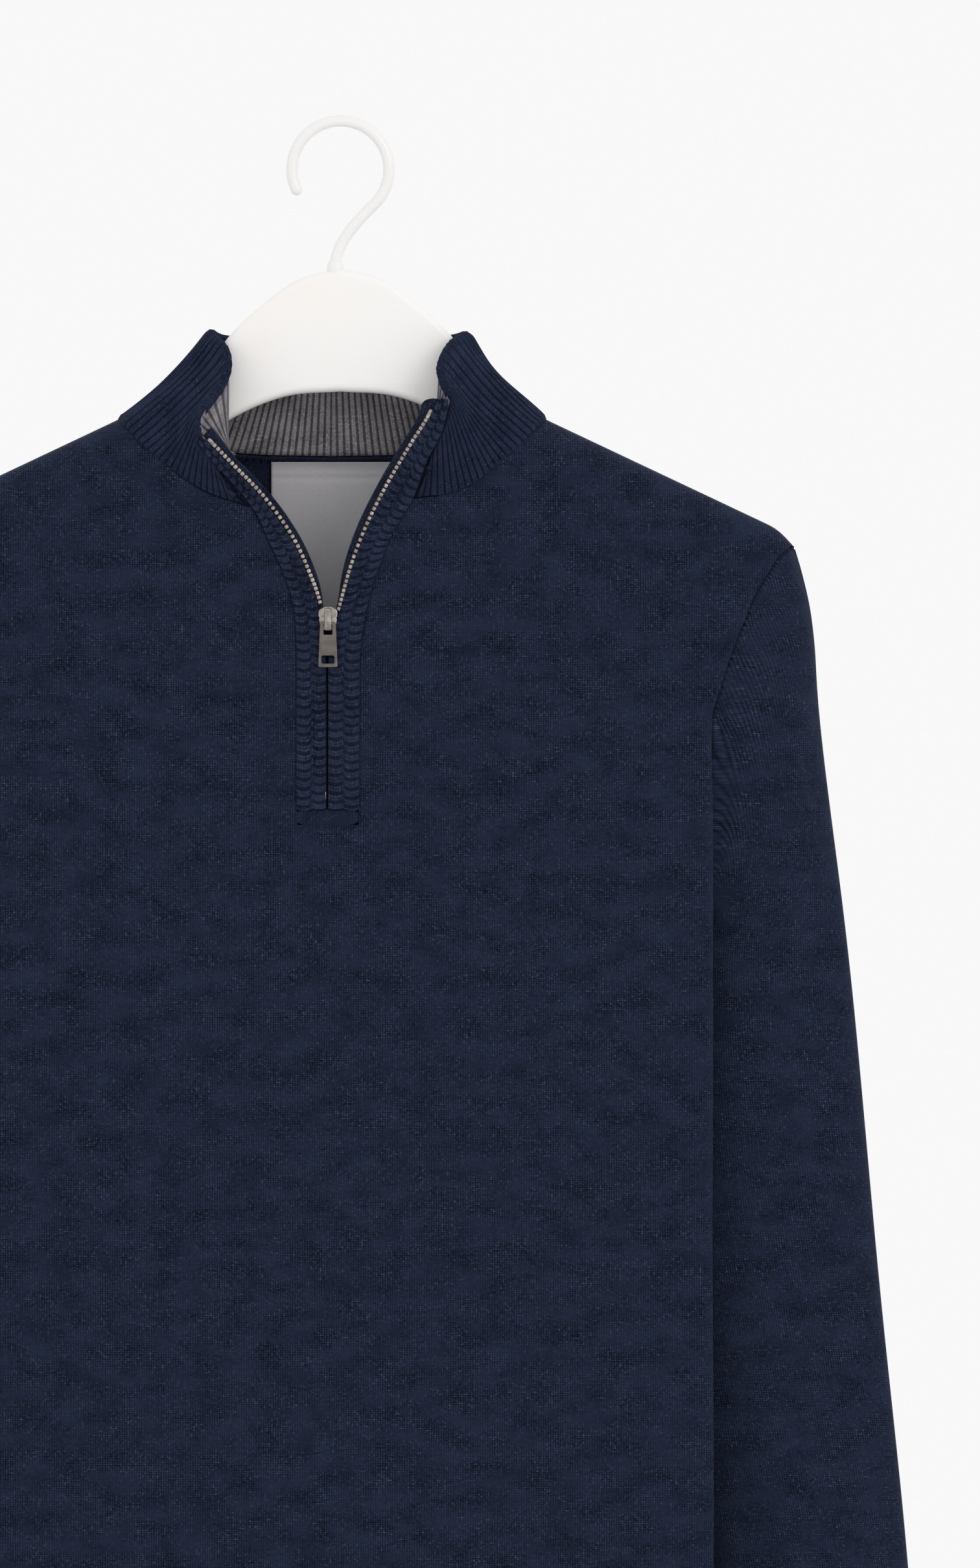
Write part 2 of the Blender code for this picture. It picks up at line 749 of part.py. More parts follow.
def hem_place(u, v):
    """The hem rib goes round the front from side seam to side seam, and back behind."""
    z = mix(HEM_TOP, HEM_END, v) - SEAM_GAP / MM / 2.0
    if u <= FRONT_HEM_SHARE:
        point = front_point(mix(SIDE_SEAM, -SIDE_SEAM, u / FRONT_HEM_SHARE), z)
    else:
        x = mix(-SIDE_SEAM_X, SIDE_SEAM_X, (u - FRONT_HEM_SHARE) / (1.0 - FRONT_HEM_SHARE))
        point = back_point(x, z)
    pull = mix(1.0, HEM_PULL, math.sin(0.5 * math.pi * v))
    return in_frame((point.x * pull, point.y * pull, z))


def make_hem():
    cells = (HEM_CELLS, 1)
    return cloth_wall("hem_rib", "navy_rib", cells, hem_place, KNIT, ribs(HEM_RIBS), around=True)


# ---------------------------------------------------------------- collar


def strip_y(side, x, z):
    """Depth of the placket: the front's below the neck seam, and the collar's front edge above it."""
    seam = STRIP_RIGHT[6] if side > 0 else STRIP_LEFT[6]
    if z <= seam[3]:
        return front_y(side * x, z)
    start = front_y(side * seam[2], seam[3])
    return mix(start, STRIP_TOP_Y, min((z - seam[3]) / STRIP_RISE, 1.0))


def collar_place(u, v):
    """The collar's outer face: u runs from the right placket round the back to the left one."""
    side = 1.0 if u < 0.5 else -1.0
    station = 2.0 * u if u < 0.5 else 2.0 - 2.0 * u
    table = COLLAR_LEFT if side < 0 else COLLAR_RIGHT
    seam_x, seam_z, top_x, top_y, top_z = [follow(table, column, station) for column in range(1, 6)]
    if station <= SHOULDER_STATION:
        seam_y = front_y(side * seam_x, seam_z - SEAM_GAP / MM)
    else:
        seam_y = back_y(side * seam_x, seam_z - SEAM_GAP / MM)
    # Over the shoulder seam the band passes evenly from front to back.
    seam_y *= min(abs(station - SHOULDER_STATION) / SHOULDER_TURN, 1.0)
    seam_z += COLLAR_LIFT
    seam = Vector((side * seam_x, seam_y, seam_z))
    top = Vector((side * top_x, top_y, top_z))
    point = seam.lerp(top, v)
    # The side of the neck bows in, as the shoulder's line turns up into the collar.
    bow = math.sin(math.pi * v) * smooth(station, COLLAR_BOW_START, SHOULDER_STATION)
    point.x -= side * COLLAR_BOW * bow * (1.0 - smooth(station, SHOULDER_STATION, COLLAR_BOW_END))
    return in_frame(point)


def make_collar():
    cells = (COLLAR_CELLS, COLLAR_ROWS)
    return cloth_wall("collar_outer", "navy_rib", cells, collar_place, RIB_KNIT, ribs(COLLAR_RIBS))


def facing_place(u, v):
    """The collar's grey inner face, just inside the outer one."""
    share = mix(FACING_INSET, 1.0 - FACING_INSET, u)
    height = mix(FACING_START, FACING_END, v)
    normal = outward(collar_place, share, height, False)
    return collar_place(share, height) - normal * (RIB_KNIT + FACING_GAP)


def make_facing():
    cells = (FACING_CELLS, FACING_ROWS)
    return cloth_wall("collar_facing", "grey_rib", cells, facing_place, FACING_KNIT)


def make_neck_cord():
    """The cord over the back neck seam, on the inside."""
    points = []
    depth = RIB_KNIT + FACING_GAP + FACING_KNIT + CORD_GAP + CORD_RADIUS
    for index in range(CORD_STEPS + 1):
        u = mix(CORD_START, 1.0 - CORD_START, index / CORD_STEPS)
        normal = outward(collar_place, u, CORD_HEIGHT, False)
        points.append(collar_place(u, CORD_HEIGHT) - normal * depth)
    return wire("neck_cord", "navy_cord", points, CORD_RADIUS)


def wire(name, finish, points, radius, sides=2):
    """A round wire or cord along points, with filled ends, as a mesh."""
    curve = bpy.data.curves.new(name, "CURVE")
    curve.dimensions = "3D"
    curve.bevel_depth = radius
    curve.bevel_resolution = sides
    curve.use_fill_caps = True
    line = curve.splines.new("POLY")
    line.points.add(len(points) - 1)
    for spot, point in zip(line.points, points):
        spot.co = (*point, 1.0)
    return solid_of_curve(name, finish, curve)


def solid_of_curve(name, finish, curve, turn=0.0):
    """The closed mesh of a curve object, with its loose caps welded on."""
    guide = bpy.data.objects.new(name + "_line", curve)
    guide.rotation_euler = (turn, 0.0, 0.0)
    bpy.context.scene.collection.objects.link(guide)
    bpy.context.view_layer.update()
    graph = bpy.context.evaluated_depsgraph_get()
    drawn = bpy.data.meshes.new_from_object(guide.evaluated_get(graph))
    mesh = bmesh.new()
    mesh.from_mesh(drawn)
    mesh.transform(guide.matrix_world)
    bmesh.ops.remove_doubles(mesh, verts=mesh.verts, dist=CURVE_WELD)
    bmesh.ops.recalc_face_normals(mesh, faces=mesh.faces)
    bpy.data.objects.remove(guide, do_unlink=True)
    bpy.data.meshes.remove(drawn)
    return keep(mesh, name, finish)


# ---------------------------------------------------------------- placket and zip


def strip_rows(side):
    return STRIP_RIGHT if side > 0 else STRIP_LEFT


def strip_point(side, across, share):
    """A point of a strip: across 0 is beside the zip, 1 is the sewn edge."""
    zip_x, zip_z, sewn_x, sewn_z = along(strip_rows(side), range(4), share)
    x, z = mix(zip_x, sewn_x, across), mix(zip_z, sewn_z, across)
    return Vector((side * x, strip_y(side, x, z) - STRIP_PROUD, z))


def strip_place(side):
    def place(u, v):
        return in_frame(strip_point(side, u if side > 0 else 1.0 - u, v))

    return place


def strip_relief(u, v):
    """Two columns of short ribs, with a groove between them."""
    crest = 0.5 - 0.5 * math.cos(math.pi * STRIP_ROWS * v)
    groove = STRIP_SINK if abs(u - 0.5) < GROOVE_HALF else 1.0
    return RIB_HEIGHT * crest * groove


def make_strip(side, name):
    cells = (STRIP_CELLS, STRIP_ROWS)
    return cloth_wall(name, "navy_rib", cells, strip_place(side), KNIT, strip_relief)


def tape_reach(side, share):
    """How far the tape stands out of its strip: not at all where the zip is closed."""
    row = share * (len(strip_rows(side)) - 1)
    return mix(CLOSED_REACH, OPEN_REACH, smooth(row, FIRST_OPEN_ROW - 0.2, FIRST_OPEN_ROW + 1.0))


def tape_place(side):
    def place(u, v):
        share = mix(TAPE_START, TAPE_END, v)
        zip_x, zip_z, sewn_x, sewn_z = along(strip_rows(side), range(4), share)
        width = math.hypot(sewn_x - zip_x, sewn_z - zip_z)
        across = u if side > 0 else 1.0 - u
        offset = mix(-tape_reach(side, share), TAPE_WIDTH, across) / width
        x, z = mix(zip_x, sewn_x, offset), mix(zip_z, sewn_z, offset)
        return in_frame((side * x, strip_y(side, x, z) - STRIP_PROUD + TAPE_BEHIND, z))

    return place


def tape_relief(side):
    """The tooth chain, a ridge along the tape's free edge where the zip is open."""

    def relief(u, v):
        across = u if side > 0 else 1.0 - u
        reach = tape_reach(side, mix(TAPE_START, TAPE_END, v))
        opened = (reach - CLOSED_REACH) / (OPEN_REACH - CLOSED_REACH)
        return CHAIN_PROUD * MM * opened if across < CHAIN_WIDTH else 0.0

    return relief


def make_tape(side, name):
    return cloth_wall(name, "zip_tape", (5, TAPE_ROWS), tape_place(side), TAPE_THICK, tape_relief(side))


def make_tuck():
    """The gathered end that closes the placket below the zip."""
    x, z = TUCK_CENTRE
    return block("placket_tuck", "navy_rib", (x, front_y(x, z) + TUCK_PROUD, z), TUCK_SIZE, TUCK_ROUND)


def round_edges(mesh, radius):
    bmesh.ops.bevel(
        mesh,
        geom=mesh.edges[:],
        offset=radius * MM,
        segments=2,
        profile=0.5,
        affect="EDGES",
        material=-1,
    )


def block(name, finish, centre, size, bevel):
    """A box with rounded edges, from its centre and size in millimetres of the garment."""
    mesh = bmesh.new()
    bmesh.ops.create_cube(mesh, size=1.0)
    bmesh.ops.scale(mesh, vec=[value * MM for value in size], verts=mesh.verts)
    round_edges(mesh, bevel)
    bmesh.ops.translate(mesh, vec=in_frame(centre), verts=mesh.verts)
    return keep(mesh, name, finish)


def cutter(made):
    made.hide_render = True
    made.display_type = "WIRE"
    for owner in list(made.users_collection):
        owner.objects.unlink(made)
    collection("cutters").objects.link(made)
    return made


def boolean(target, other, operation):
    change = target.modifiers.new(operation.lower() + "_" + other.name, "BOOLEAN")
    change.operation = operation
    change.object = other
    change.solver = "EXACT"


def make_slider():
    plate_y = SLIDER_BACK - SLIDER_PLATE / 2.0
    body = block(
        "zip_slider",
        "zip_metal",
        (SLIDER_X, plate_y, SLIDER_TOP - SLIDER_LENGTH / 2.0),
        (2.0 * SLIDER_HALF, SLIDER_PLATE, SLIDER_LENGTH),
        0.6,
    )
    face = SLIDER_BACK - SLIDER_PLATE
    middle, height = (BRIDGE_TOP + BRIDGE_END) / 2.0, BRIDGE_TOP - BRIDGE_END
    arch = block(
        "bridge", "zip_metal", (SLIDER_X, face - BRIDGE_RISE / 2.0 + 0.4, middle),
        (BRIDGE_WIDTH, BRIDGE_RISE + 0.8, height), 0.7,
    )
    hollow = block(
        "bridge_hollow", "zip_metal", (SLIDER_X, face - (BRIDGE_RISE - BRIDGE_WALL) / 2.0, middle),
        (BRIDGE_WIDTH * 2.0, BRIDGE_RISE - BRIDGE_WALL, height - 2.0 * BRIDGE_WALL), 0.4,
    )
    boolean(arch, cutter(hollow), "DIFFERENCE")
    boolean(body, cutter(arch), "UNION")
    return body


def make_tab():
    """The pull tab: a plate with a slot round the bridge and a window at its end."""
    axis = Vector((SLIDER_X, SLIDER_BACK - SLIDER_PLATE - TAB_GAP, BAR_Z))
    top = BAR_Z + BAR_HALF
    mesh = bmesh.new()
    bmesh.ops.create_cube(mesh, size=1.0)
    length = top - TAB_END_Z
    for vert in mesh.verts:
        half = TAB_HALF_TOP if vert.co.z > 0.0 else TAB_HALF_END
        vert.co.x *= 2.0 * half
        vert.co.y *= TAB_THICK
        vert.co.z = (vert.co.z - 0.5) * length + BAR_HALF
    bmesh.ops.scale(mesh, vec=(MM, MM, MM), verts=mesh.verts)
    round_edges(mesh, TAB_ROUND)
    tab = keep(mesh, "pull_tab", "tab_metal")
    tab.location = in_frame(axis)
    slot_at = (SLIDER_X, axis.y, BAR_Z - BAR_HALF - TAB_SLOT[2] / 2.0)
    slot = block("tab_slot", "tab_metal", slot_at, TAB_SLOT, 0.5)
    window_at = (SLIDER_X, axis.y, TAB_END_Z + TAB_WINDOW_UP)
    window = block("tab_window", "tab_metal", window_at, TAB_WINDOW, 0.9)
    boolean(tab, cutter(slot), "DIFFERENCE")
    boolean(tab, cutter(window), "DIFFERENCE")
    return tab


# ---------------------------------------------------------------- label and hanger


def label_place(u, v):
    x = mix(LABEL_LEFT, LABEL_RIGHT, u)
    z = mix(LABEL_TOP - LABEL_LENGTH, LABEL_TOP, v)
    lean = LABEL_OFF + LABEL_LEAN * (1.0 - v) ** 1.5
    return in_frame((x, back_y(x, z) - KNIT / MM - LABEL_THICK - lean, z))


def make_label():
    return cloth_wall("neck_label", "satin_label", (6, 6), label_place, LABEL_THICK * MM)


def hanger_outline():
    half = []
    for table in (HANGER_TOP, HANGER_UNDER):
        steps = 2 * (len(table) - 1)
        half += [tuple(along(table, (0, 1), index / steps)) for index in range(steps + 1)]
    return half + [(-x, z) for x, z in reversed(half) if abs(x) > 0.01]


def make_hanger():
    curve = bpy.data.curves.new("hanger", "CURVE")
    curve.dimensions = "2D"
    curve.fill_mode = "BOTH"
    curve.extrude = (PLATE_HALF_THICK - PLATE_EDGE) * MM
    curve.bevel_depth = PLATE_EDGE * MM
    curve.bevel_resolution = 0
    curve.offset = -PLATE_EDGE * MM
    points = hanger_outline()
    line = curve.splines.new("POLY")
    line.use_cyclic_u = True
    line.points.add(len(points) - 1)
    for spot, (x, z) in zip(line.points, points):
        spot.co = (x * MM, z * MM, 0.0, 1.0)
    return solid_of_curve("hanger", "hanger_white", curve, math.radians(90.0))


def make_hook():
    """The wire hook: a short neck, a sweep out to the side, and most of a circle over the rail."""
    start = math.radians(HOOK_JOIN)
    join = Vector((HOOK_RADIUS * math.cos(start), HOOK_CENTRE_Z + HOOK_RADIUS * math.sin(start)))
    foot = Vector((NECK_X, NECK_FOOT))
    bend = Vector((NECK_X, NECK_FOOT + NECK_RUN))
    pull = join - SWEEP_PULL * Vector((-math.sin(start), math.cos(start)))
    points = []
    for index in range(NECK_STEPS + 1):
        share = index / NECK_STEPS
        rest = 1.0 - share
        spot = foot * rest**3 + bend * 3.0 * rest**2 * share
        spot += pull * 3.0 * rest * share**2 + join * share**3
        points.append(Vector((spot.x * MM, 0.0, spot.y * MM)))
    for index in range(1, HOOK_STEPS + 1):
        angle = start + math.radians(HOOK_TIP - HOOK_JOIN) * index / HOOK_STEPS
        x, z = HOOK_RADIUS * math.cos(angle), HOOK_CENTRE_Z + HOOK_RADIUS * math.sin(angle)
        points.append(Vector((x * MM, 0.0, z * MM)))
    return wire("hanger_hook", "hook_white", points, WIRE_RADIUS)


# ---------------------------------------------------------------- all the pieces


def main():
    clear_scene()
    make_front()
    make_back()
    for side, word in ((-1, "left"), (1, "right")):
        make_sleeve(side, "sleeve_" + word)
        make_cuff(side, "cuff_" + word)
        make_strip(side, "placket_" + word)
        make_tape(side, "zip_tape_" + word)
    make_hem()
    make_collar()
    make_facing()
    make_neck_cord()
    make_tuck()
    make_slider()
    make_tab()
    make_label()
    make_hanger()
    make_hook()


main()
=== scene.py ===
# %% [markdown]
# # A quarter zip sweater on its hanger
#
# A fine knit pullover hangs by its shoulders on a white shaped hanger. Its rib collar stands open,
# the zip runs down a ribbed placket to the chest, and hem and cuffs end in ribs.
#
# On the real garment each panel is knitted as a flat piece and linked to the next at a seam. We
# follow that: every piece is a flat grid first, and a function then says where each point of the
# flat piece hangs. Working from the flat piece has a second use. It gives each piece a UV map in
# real metres, so that the yarn's pattern has its true scale and follows the cloth round each fold.

# %% Load the fixed frame
import math
from functools import partial

import bmesh
import bpy
import numpy as np
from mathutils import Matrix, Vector


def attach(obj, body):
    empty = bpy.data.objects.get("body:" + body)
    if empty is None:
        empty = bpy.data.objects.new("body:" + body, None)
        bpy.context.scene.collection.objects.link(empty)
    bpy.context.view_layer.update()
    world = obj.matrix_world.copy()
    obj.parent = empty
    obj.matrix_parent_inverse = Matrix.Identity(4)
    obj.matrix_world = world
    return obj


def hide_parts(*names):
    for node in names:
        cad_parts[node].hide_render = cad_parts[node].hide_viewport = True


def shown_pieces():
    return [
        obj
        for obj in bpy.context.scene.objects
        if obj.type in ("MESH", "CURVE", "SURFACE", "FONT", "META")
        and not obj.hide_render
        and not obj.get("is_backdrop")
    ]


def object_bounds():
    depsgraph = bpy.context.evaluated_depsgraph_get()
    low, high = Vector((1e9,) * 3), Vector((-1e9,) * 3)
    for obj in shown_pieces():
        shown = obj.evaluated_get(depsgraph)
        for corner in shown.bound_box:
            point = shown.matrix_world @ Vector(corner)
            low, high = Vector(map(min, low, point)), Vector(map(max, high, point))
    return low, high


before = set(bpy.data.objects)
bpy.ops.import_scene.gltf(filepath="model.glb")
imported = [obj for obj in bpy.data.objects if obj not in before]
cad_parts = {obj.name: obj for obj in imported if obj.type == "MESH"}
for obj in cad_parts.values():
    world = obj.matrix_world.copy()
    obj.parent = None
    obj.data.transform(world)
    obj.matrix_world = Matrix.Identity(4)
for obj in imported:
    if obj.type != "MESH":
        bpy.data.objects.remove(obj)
cad_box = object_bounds()

# %% [markdown]
# ## Units and a few small helpers
#
# Lengths are in millimetres from the garment's own corner: the point where shoulder meets collar,
# and the centre line. `in_frame` turns them into metres under the hook's seat. All helpers take
# whole arrays of points, because a panel has tens of thousands of them.

# %% Numbers that many cells use
MM = 0.001
CENTRE_X = -4.3
SHOULDER_Z = -153.7
HANDS = ((-1, "left"), (1, "right"))


def in_frame(points):
    """Garment millimetres to metres in the frame."""
    return (np.asarray(points, float) + (CENTRE_X, 0.0, SHOULDER_Z)) * MM


def smooth(value, start, end):
    share = np.clip((np.asarray(value, float) - start) / (end - start), 0.0, 1.0)
    return share * share * (3.0 - 2.0 * share)


def mix(first, second, share):
    return first + (second - first) * share


def follow(table, column, at, key=0):
    """One column of a table read on a smooth curve through its rows."""
    rows = np.array(sorted(table, key=lambda row: row[key]), float)
    keys, values = rows[:, key], rows[:, column]
    at = np.clip(np.asarray(at, float), keys[0], keys[-1])
    last = len(keys) - 1
    low = np.clip(np.searchsorted(keys, at, side="right") - 1, 0, last - 1)
    before, after = np.maximum(low - 1, 0), np.minimum(low + 2, last)
    span = keys[low + 1] - keys[low]
    share = (at - keys[low]) / span
    start = (values[low + 1] - values[before]) / (keys[low + 1] - keys[before]) * span
    end = (values[after] - values[low]) / (keys[after] - keys[low]) * span
    two, three = share**2, share**3
    return (
        (2 * three - 3 * two + 1) * values[low]
        + (three - 2 * two + share) * start
        + (3 * two - 2 * three) * values[low + 1]
        + (three - two) * end
    )


def along(table, share):
    """All columns of a table at a share of its rows."""
    rows = [(index / (len(table) - 1), *row) for index, row in enumerate(table)]
    return [follow(rows, column + 1, share) for column in range(len(table[0]))]


def stack(x, y, z):
    return np.stack(np.broadcast_arrays(x, y, z), axis=-1).astype(float)


def swell(value, middle, width):
    """1 at the middle, and falling away on both sides of it."""
    return np.exp(-(((value - middle) / width) ** 2))


def own_way(side, u):
    """u counted the same way on both sides of the garment, which mirrors a piece."""
    return u if side > 0 else 1.0 - u


print("a smooth read of a table:", follow(((0, 0), (1, 2), (3, 3)), 1, [0.5, 2.0]))

# %% [markdown]
# ## The camera
#
# The camera looks straight at the garment's front through a long lens, from far enough away that
# the sleeves don't seem to lean. It is framed close: the right shoulder and the open neck fill the
# view, and hem and cuffs lie below it.

# %% Make the camera
VIEW_CENTRE = Vector((0.0770, -0.020, -0.3387))
VIEW_HEIGHT = 0.8067
VIEW_DISTANCE = 14.0
SENSOR = 36.0

camera_data = bpy.data.cameras.new("camera")
camera_data.sensor_width = SENSOR
camera_data.lens = SENSOR * VIEW_DISTANCE / VIEW_HEIGHT
camera_data.clip_start, camera_data.clip_end = 0.1, 30.0
camera = bpy.data.objects.new("camera", camera_data)
camera.location = VIEW_CENTRE - Vector((0.0, VIEW_DISTANCE, 0.0))
camera.rotation_euler = (math.radians(90.0), 0.0, 0.0)
bpy.context.scene.collection.objects.link(camera)
bpy.context.scene.camera = camera
print("lens in mm:", round(camera_data.lens, 1))

# %% [markdown]
# ## Yarn, metal and plastic
#
# The cloth is a melange: fibres dyed in several blues are spun into one yarn, so no two stitches
# have quite the same colour. Close up that gives short flecks along the courses, and from further
# away soft clouds. The stitches themselves are under a millimetre wide. They are a height for the
# bump node, a row of small V shapes, because real ones would need millions of faces. Their light
# and shade are also painted into the colour: a painted highlight on each stitch, painted shade
# between them, and on rib painted shade in the valleys and a painted highlight on the crests.
#
# A wool or cotton surface also has a nap of loose fibres that catches light at the edges, which is
# what the sheen is for.


# %% A small kit for building materials
class Finish:
    """A material, with a short line for each node that goes into it."""

    def __init__(self, name):
        self.material = bpy.data.materials.new(name)
        self.material.use_nodes = True
        self.nodes, self.links = self.material.node_tree.nodes, self.material.node_tree.links

    def plug(self, node, inputs):
        """Links or sets the inputs of a node, by name or number."""
        for key, value in inputs.items():
            if hasattr(value, "is_output"):
                self.links.new(value, node.inputs[key])
            else:
                node.inputs[key].default_value = value

    def put(self, kind, inputs=None, output=0, **settings):
        node = self.nodes.new("ShaderNode" + kind)
        for key, value in settings.items():
            setattr(node, key, value)
        self.plug(node, inputs or {})
        return node.outputs[output]

    def math(self, operation, first, second=0.0):
        return self.put("Math", {0: first, 1: second}, operation=operation)

    def add(self, first, second):
        return self.math("ADD", first, second)

    def times(self, first, second):
        return self.math("MULTIPLY", first, second)

    def wave(self, value, size):
        """A sine that repeats once in each size."""
        return self.math("SINE", self.times(value, 2.0 * math.pi / size))

    def remap(self, value, low, high, to_low=0.0, to_high=1.0):
        names = {"Value": value, "From Min": low, "From Max": high, "To Min": to_low, "To Max": to_high}
        return self.put("MapRange", names)

    def noise(self, vector, scale, detail=2.0, stretch=(1.0, 1.0, 1.0), rough=0.5):
        moved = self.put("Mapping", {"Vector": vector, "Scale": stretch})
        names = {"Vector": moved, "Scale": scale, "Detail": detail, "Roughness": rough}
        return self.put("TexNoise", names)

    def blend(self, share, first, second):
        """A colour between two, each of them a node's output or three numbers."""
        tones = [tone if hasattr(tone, "is_output") else (*tone, 1.0) for tone in (first, second)]
        return self.put("Mix", {0: share, 6: tones[0], 7: tones[1]}, output=2, data_type="RGBA")

    def bump(self, strength, distance, height):
        return self.put("Bump", {"Strength": strength, "Distance": distance, "Height": height})

    def own_place(self):
        """The place on a solid piece, in its object's coordinates."""
        return self.put("TexCoord", output=3)

    def flat_place(self):
        """The place on a flat piece: as a vector, and its parts across and up."""
        place = self.put("UVMap", uv_map="cloth")
        parts = self.nodes.new("ShaderNodeSeparateXYZ")
        self.links.new(place, parts.inputs[0])
        return place, parts.outputs[0], parts.outputs[1]

    def surface(self, inputs):
        """Plugs the shader and hands the material over."""
        self.plug(self.nodes["Principled BSDF"], inputs)
        return self.material


print("a new finish starts with", len(Finish("spare").nodes), "nodes")
bpy.data.materials.remove(bpy.data.materials["spare"])


# %% Yarn
NAVY_DARK, NAVY_LIGHT = (0.0035, 0.0051, 0.0145), (0.0255, 0.0360, 0.0725)
NAVY_FLECK = (0.092, 0.115, 0.172)
ROLL_BEGINS, ROLL_WIDE = 0.056, 0.062


def yarn(name, dark, light, wale, course, rib=None, fleck=NAVY_FLECK, streak=1.0, lit=0.78, **ribs):
    """A knitted melange cloth. wale, course and rib are a stitch's and a rib's size, in metres."""
    make = Finish(name)
    place, across, rise = make.flat_place()
    # On a rib, one wale lies in the valley and the others stand on its crest.
    turns = make.add(make.times(across, 1.0 / wale), 0.5 if rib else 0.0)
    leg = make.math("PINGPONG", turns, 0.5)
    level = make.add(make.times(rise, 1.0 / course), make.times(leg, 0.5))

    # Each stitch has its own tone, because the fibres in the yarn aren't evenly mixed.
    stitch_of = make.put("CombineXYZ", {0: make.math("FLOOR", turns), 1: make.math("FLOOR", level)})
    single = make.put("TexWhiteNoise", {"Vector": stitch_of}, noise_dimensions="2D")

    # Clouds of one to three centimetres, and patches where the fuzz hides the stitches.
    clouds = make.noise(place, 55.0, 3.0, (1.0, 1.5, 1.0))
    patches = make.noise(place, 62.0, 3.0, (0.8, 1.5, 1.0), 0.6)
    clear = make.remap(patches, 0.38, 0.62, 0.34, 1.12)
    streaks = make.noise(place, 900.0, 2.0, (0.70, 1.0, 1.0), 0.6)
    fibres = make.noise(place, 2600.0, 2.0, (1.0, 1.3, 1.0), 0.7)
    fine = make.remap(streaks, 0.30, 0.70, -0.30 * streak, 0.32 * streak)
    stitch = make.remap(single, 0.0, 1.0, -0.16 * streak, 0.18 * streak)
    grain = make.remap(fibres, 0.25, 0.75, -0.22 * streak, 0.24 * streak)
    mottle = make.times(make.add(make.add(fine, stitch), grain), clear)
    tone = make.remap(clouds, 0.32, 0.68, 0.27, 0.57)
    colour = make.blend(make.add(tone, mottle), dark, light)
    # Pale fibres gather on single stitches.
    pale = make.remap(single, 0.80, 1.0, 0.0, 0.30 * streak)
    pale = make.times(pale, make.remap(streaks, 0.45, 0.62))
    colour = make.blend(make.times(pale, clear), colour, fleck)

    # The stitches: one small mound each, with a painted highlight on top and painted shade between the
    # wales and the courses.
    ridge = make.remap(make.wave(level, 1.0), -1.0, 1.0, 0.15, 1.0)
    knit = make.times(ridge, make.math("ABSOLUTE", make.wave(turns, 2.0)))
    painted_stitch_light = make.remap(knit, 0.0, 0.95, -lit, lit)
    shade = make.add(make.times(painted_stitch_light, clear), 1.0)
    # Ribs add painted shade in their valleys and a painted highlight on their crests.
    if rib:
        shade = make.times(shade, rib_shade(make, across, rise, rib, **ribs))
    height = make.add(make.add(knit, make.times(fibres, 0.8)), make.times(streaks, 1.0))
    # The base colour is scaled by the painted light and shade of stitches and ribs.
    return make.surface({
        "Base Color": make.put("VectorMath", {0: colour, "Scale": shade}, operation="SCALE"),
        "Normal": make.bump(0.5, 0.0005, height),
        "Roughness": make.remap(streaks, 0.3, 0.7, 0.86, 1.0),
        "Specular IOR Level": 0.08,
        "Sheen Weight": 0.05,
        "Sheen Roughness": 0.5,
        "Sheen Tint": (0.45, 0.60, 1.0, 1.0),
    })


def rib_shade(make, across, rise, rib, valley=(0.12, 0.58), low=0.30):
    """Painted shade in the valleys and a painted highlight on the crests. On the collar's rolled edge they
    are stretched out.
    """
    crest = make.math("ABSOLUTE", make.wave(across, 2.0 * rib))
    painted_valley_shade = make.remap(rise, ROLL_BEGINS, ROLL_WIDE, low, 0.88)
    high = make.remap(rise, ROLL_BEGINS, ROLL_WIDE, 1.18, 1.02)
    return make.add(painted_valley_shade, make.times(make.remap(crest, *valley), make.math("SUBTRACT", high, painted_valley_shade)))


print("navy runs from", NAVY_DARK, "to", NAVY_LIGHT)

# %% The garment's yarns
RIB_UV = 4.0
KNIT_STITCH = (0.00125, 0.00092)
RIB_STITCH = (RIB_UV * MM / 3.0, 0.0008, RIB_UV * MM)
RIB_DARK, RIB_LIGHT = (0.0028, 0.0041, 0.0125), (0.0240, 0.0335, 0.0710)
PLACKET_LIGHT = (0.031, 0.043, 0.086)
GREY_DARK, GREY_LIGHT, GREY_FLECK = (0.070, 0.065, 0.072), (0.40, 0.375, 0.405), (0.76, 0.73, 0.76)
# lit, valley and low set how strong each yarn's painted light and shade are.
knit_navy = yarn("knit_navy", NAVY_DARK, NAVY_LIGHT, *KNIT_STITCH)
rib_navy = yarn("rib_navy", RIB_DARK, RIB_LIGHT, *RIB_STITCH, streak=0.75, lit=0.42)
rib_grey = yarn(
    "rib_grey", GREY_DARK, GREY_LIGHT, *RIB_STITCH, GREY_FLECK,
    streak=0.7, lit=0.30, valley=(0.28, 0.80),
)
rib_placket = yarn(
    "rib_placket", RIB_DARK, PLACKET_LIGHT, *RIB_STITCH,
    streak=0.8, lit=0.62, valley=(0.05, 0.75), low=0.34,
)
cord_navy = yarn("cord_navy", (0.005, 0.007, 0.016), (0.018, 0.025, 0.048), 0.0008, 0.0008)
print("yarn materials:", [made.name for made in (knit_navy, rib_navy, rib_grey, rib_placket, cord_navy)])

# %% [markdown]
# ## Zip metal, satin and hanger plastic
#
# The zip is plated metal with fine tumbling marks. The label is woven satin, whose floats run
# across it and give a soft stripe of light. The hanger is moulded in white plastic with a faint
# orange-peel surface.


# %% Metal, satin, tape and plastic
def metal(name, colour, roughness, wear):
    make = Finish(name)
    place = make.own_place()
    marks = make.noise(place, 1400.0, 3.0, (1.0, 1.0, 0.15))
    stains = make.remap(make.noise(place, 260.0, 3.0), 0.35, 0.65)
    return make.surface({
        "Base Color": make.blend(stains, [value * wear for value in colour], colour),
        "Roughness": make.remap(marks, 0.3, 0.7, roughness * 0.75, roughness * 1.35),
        "Normal": make.bump(0.25, 0.00006, marks),
        "Metallic": 1.0,
    })


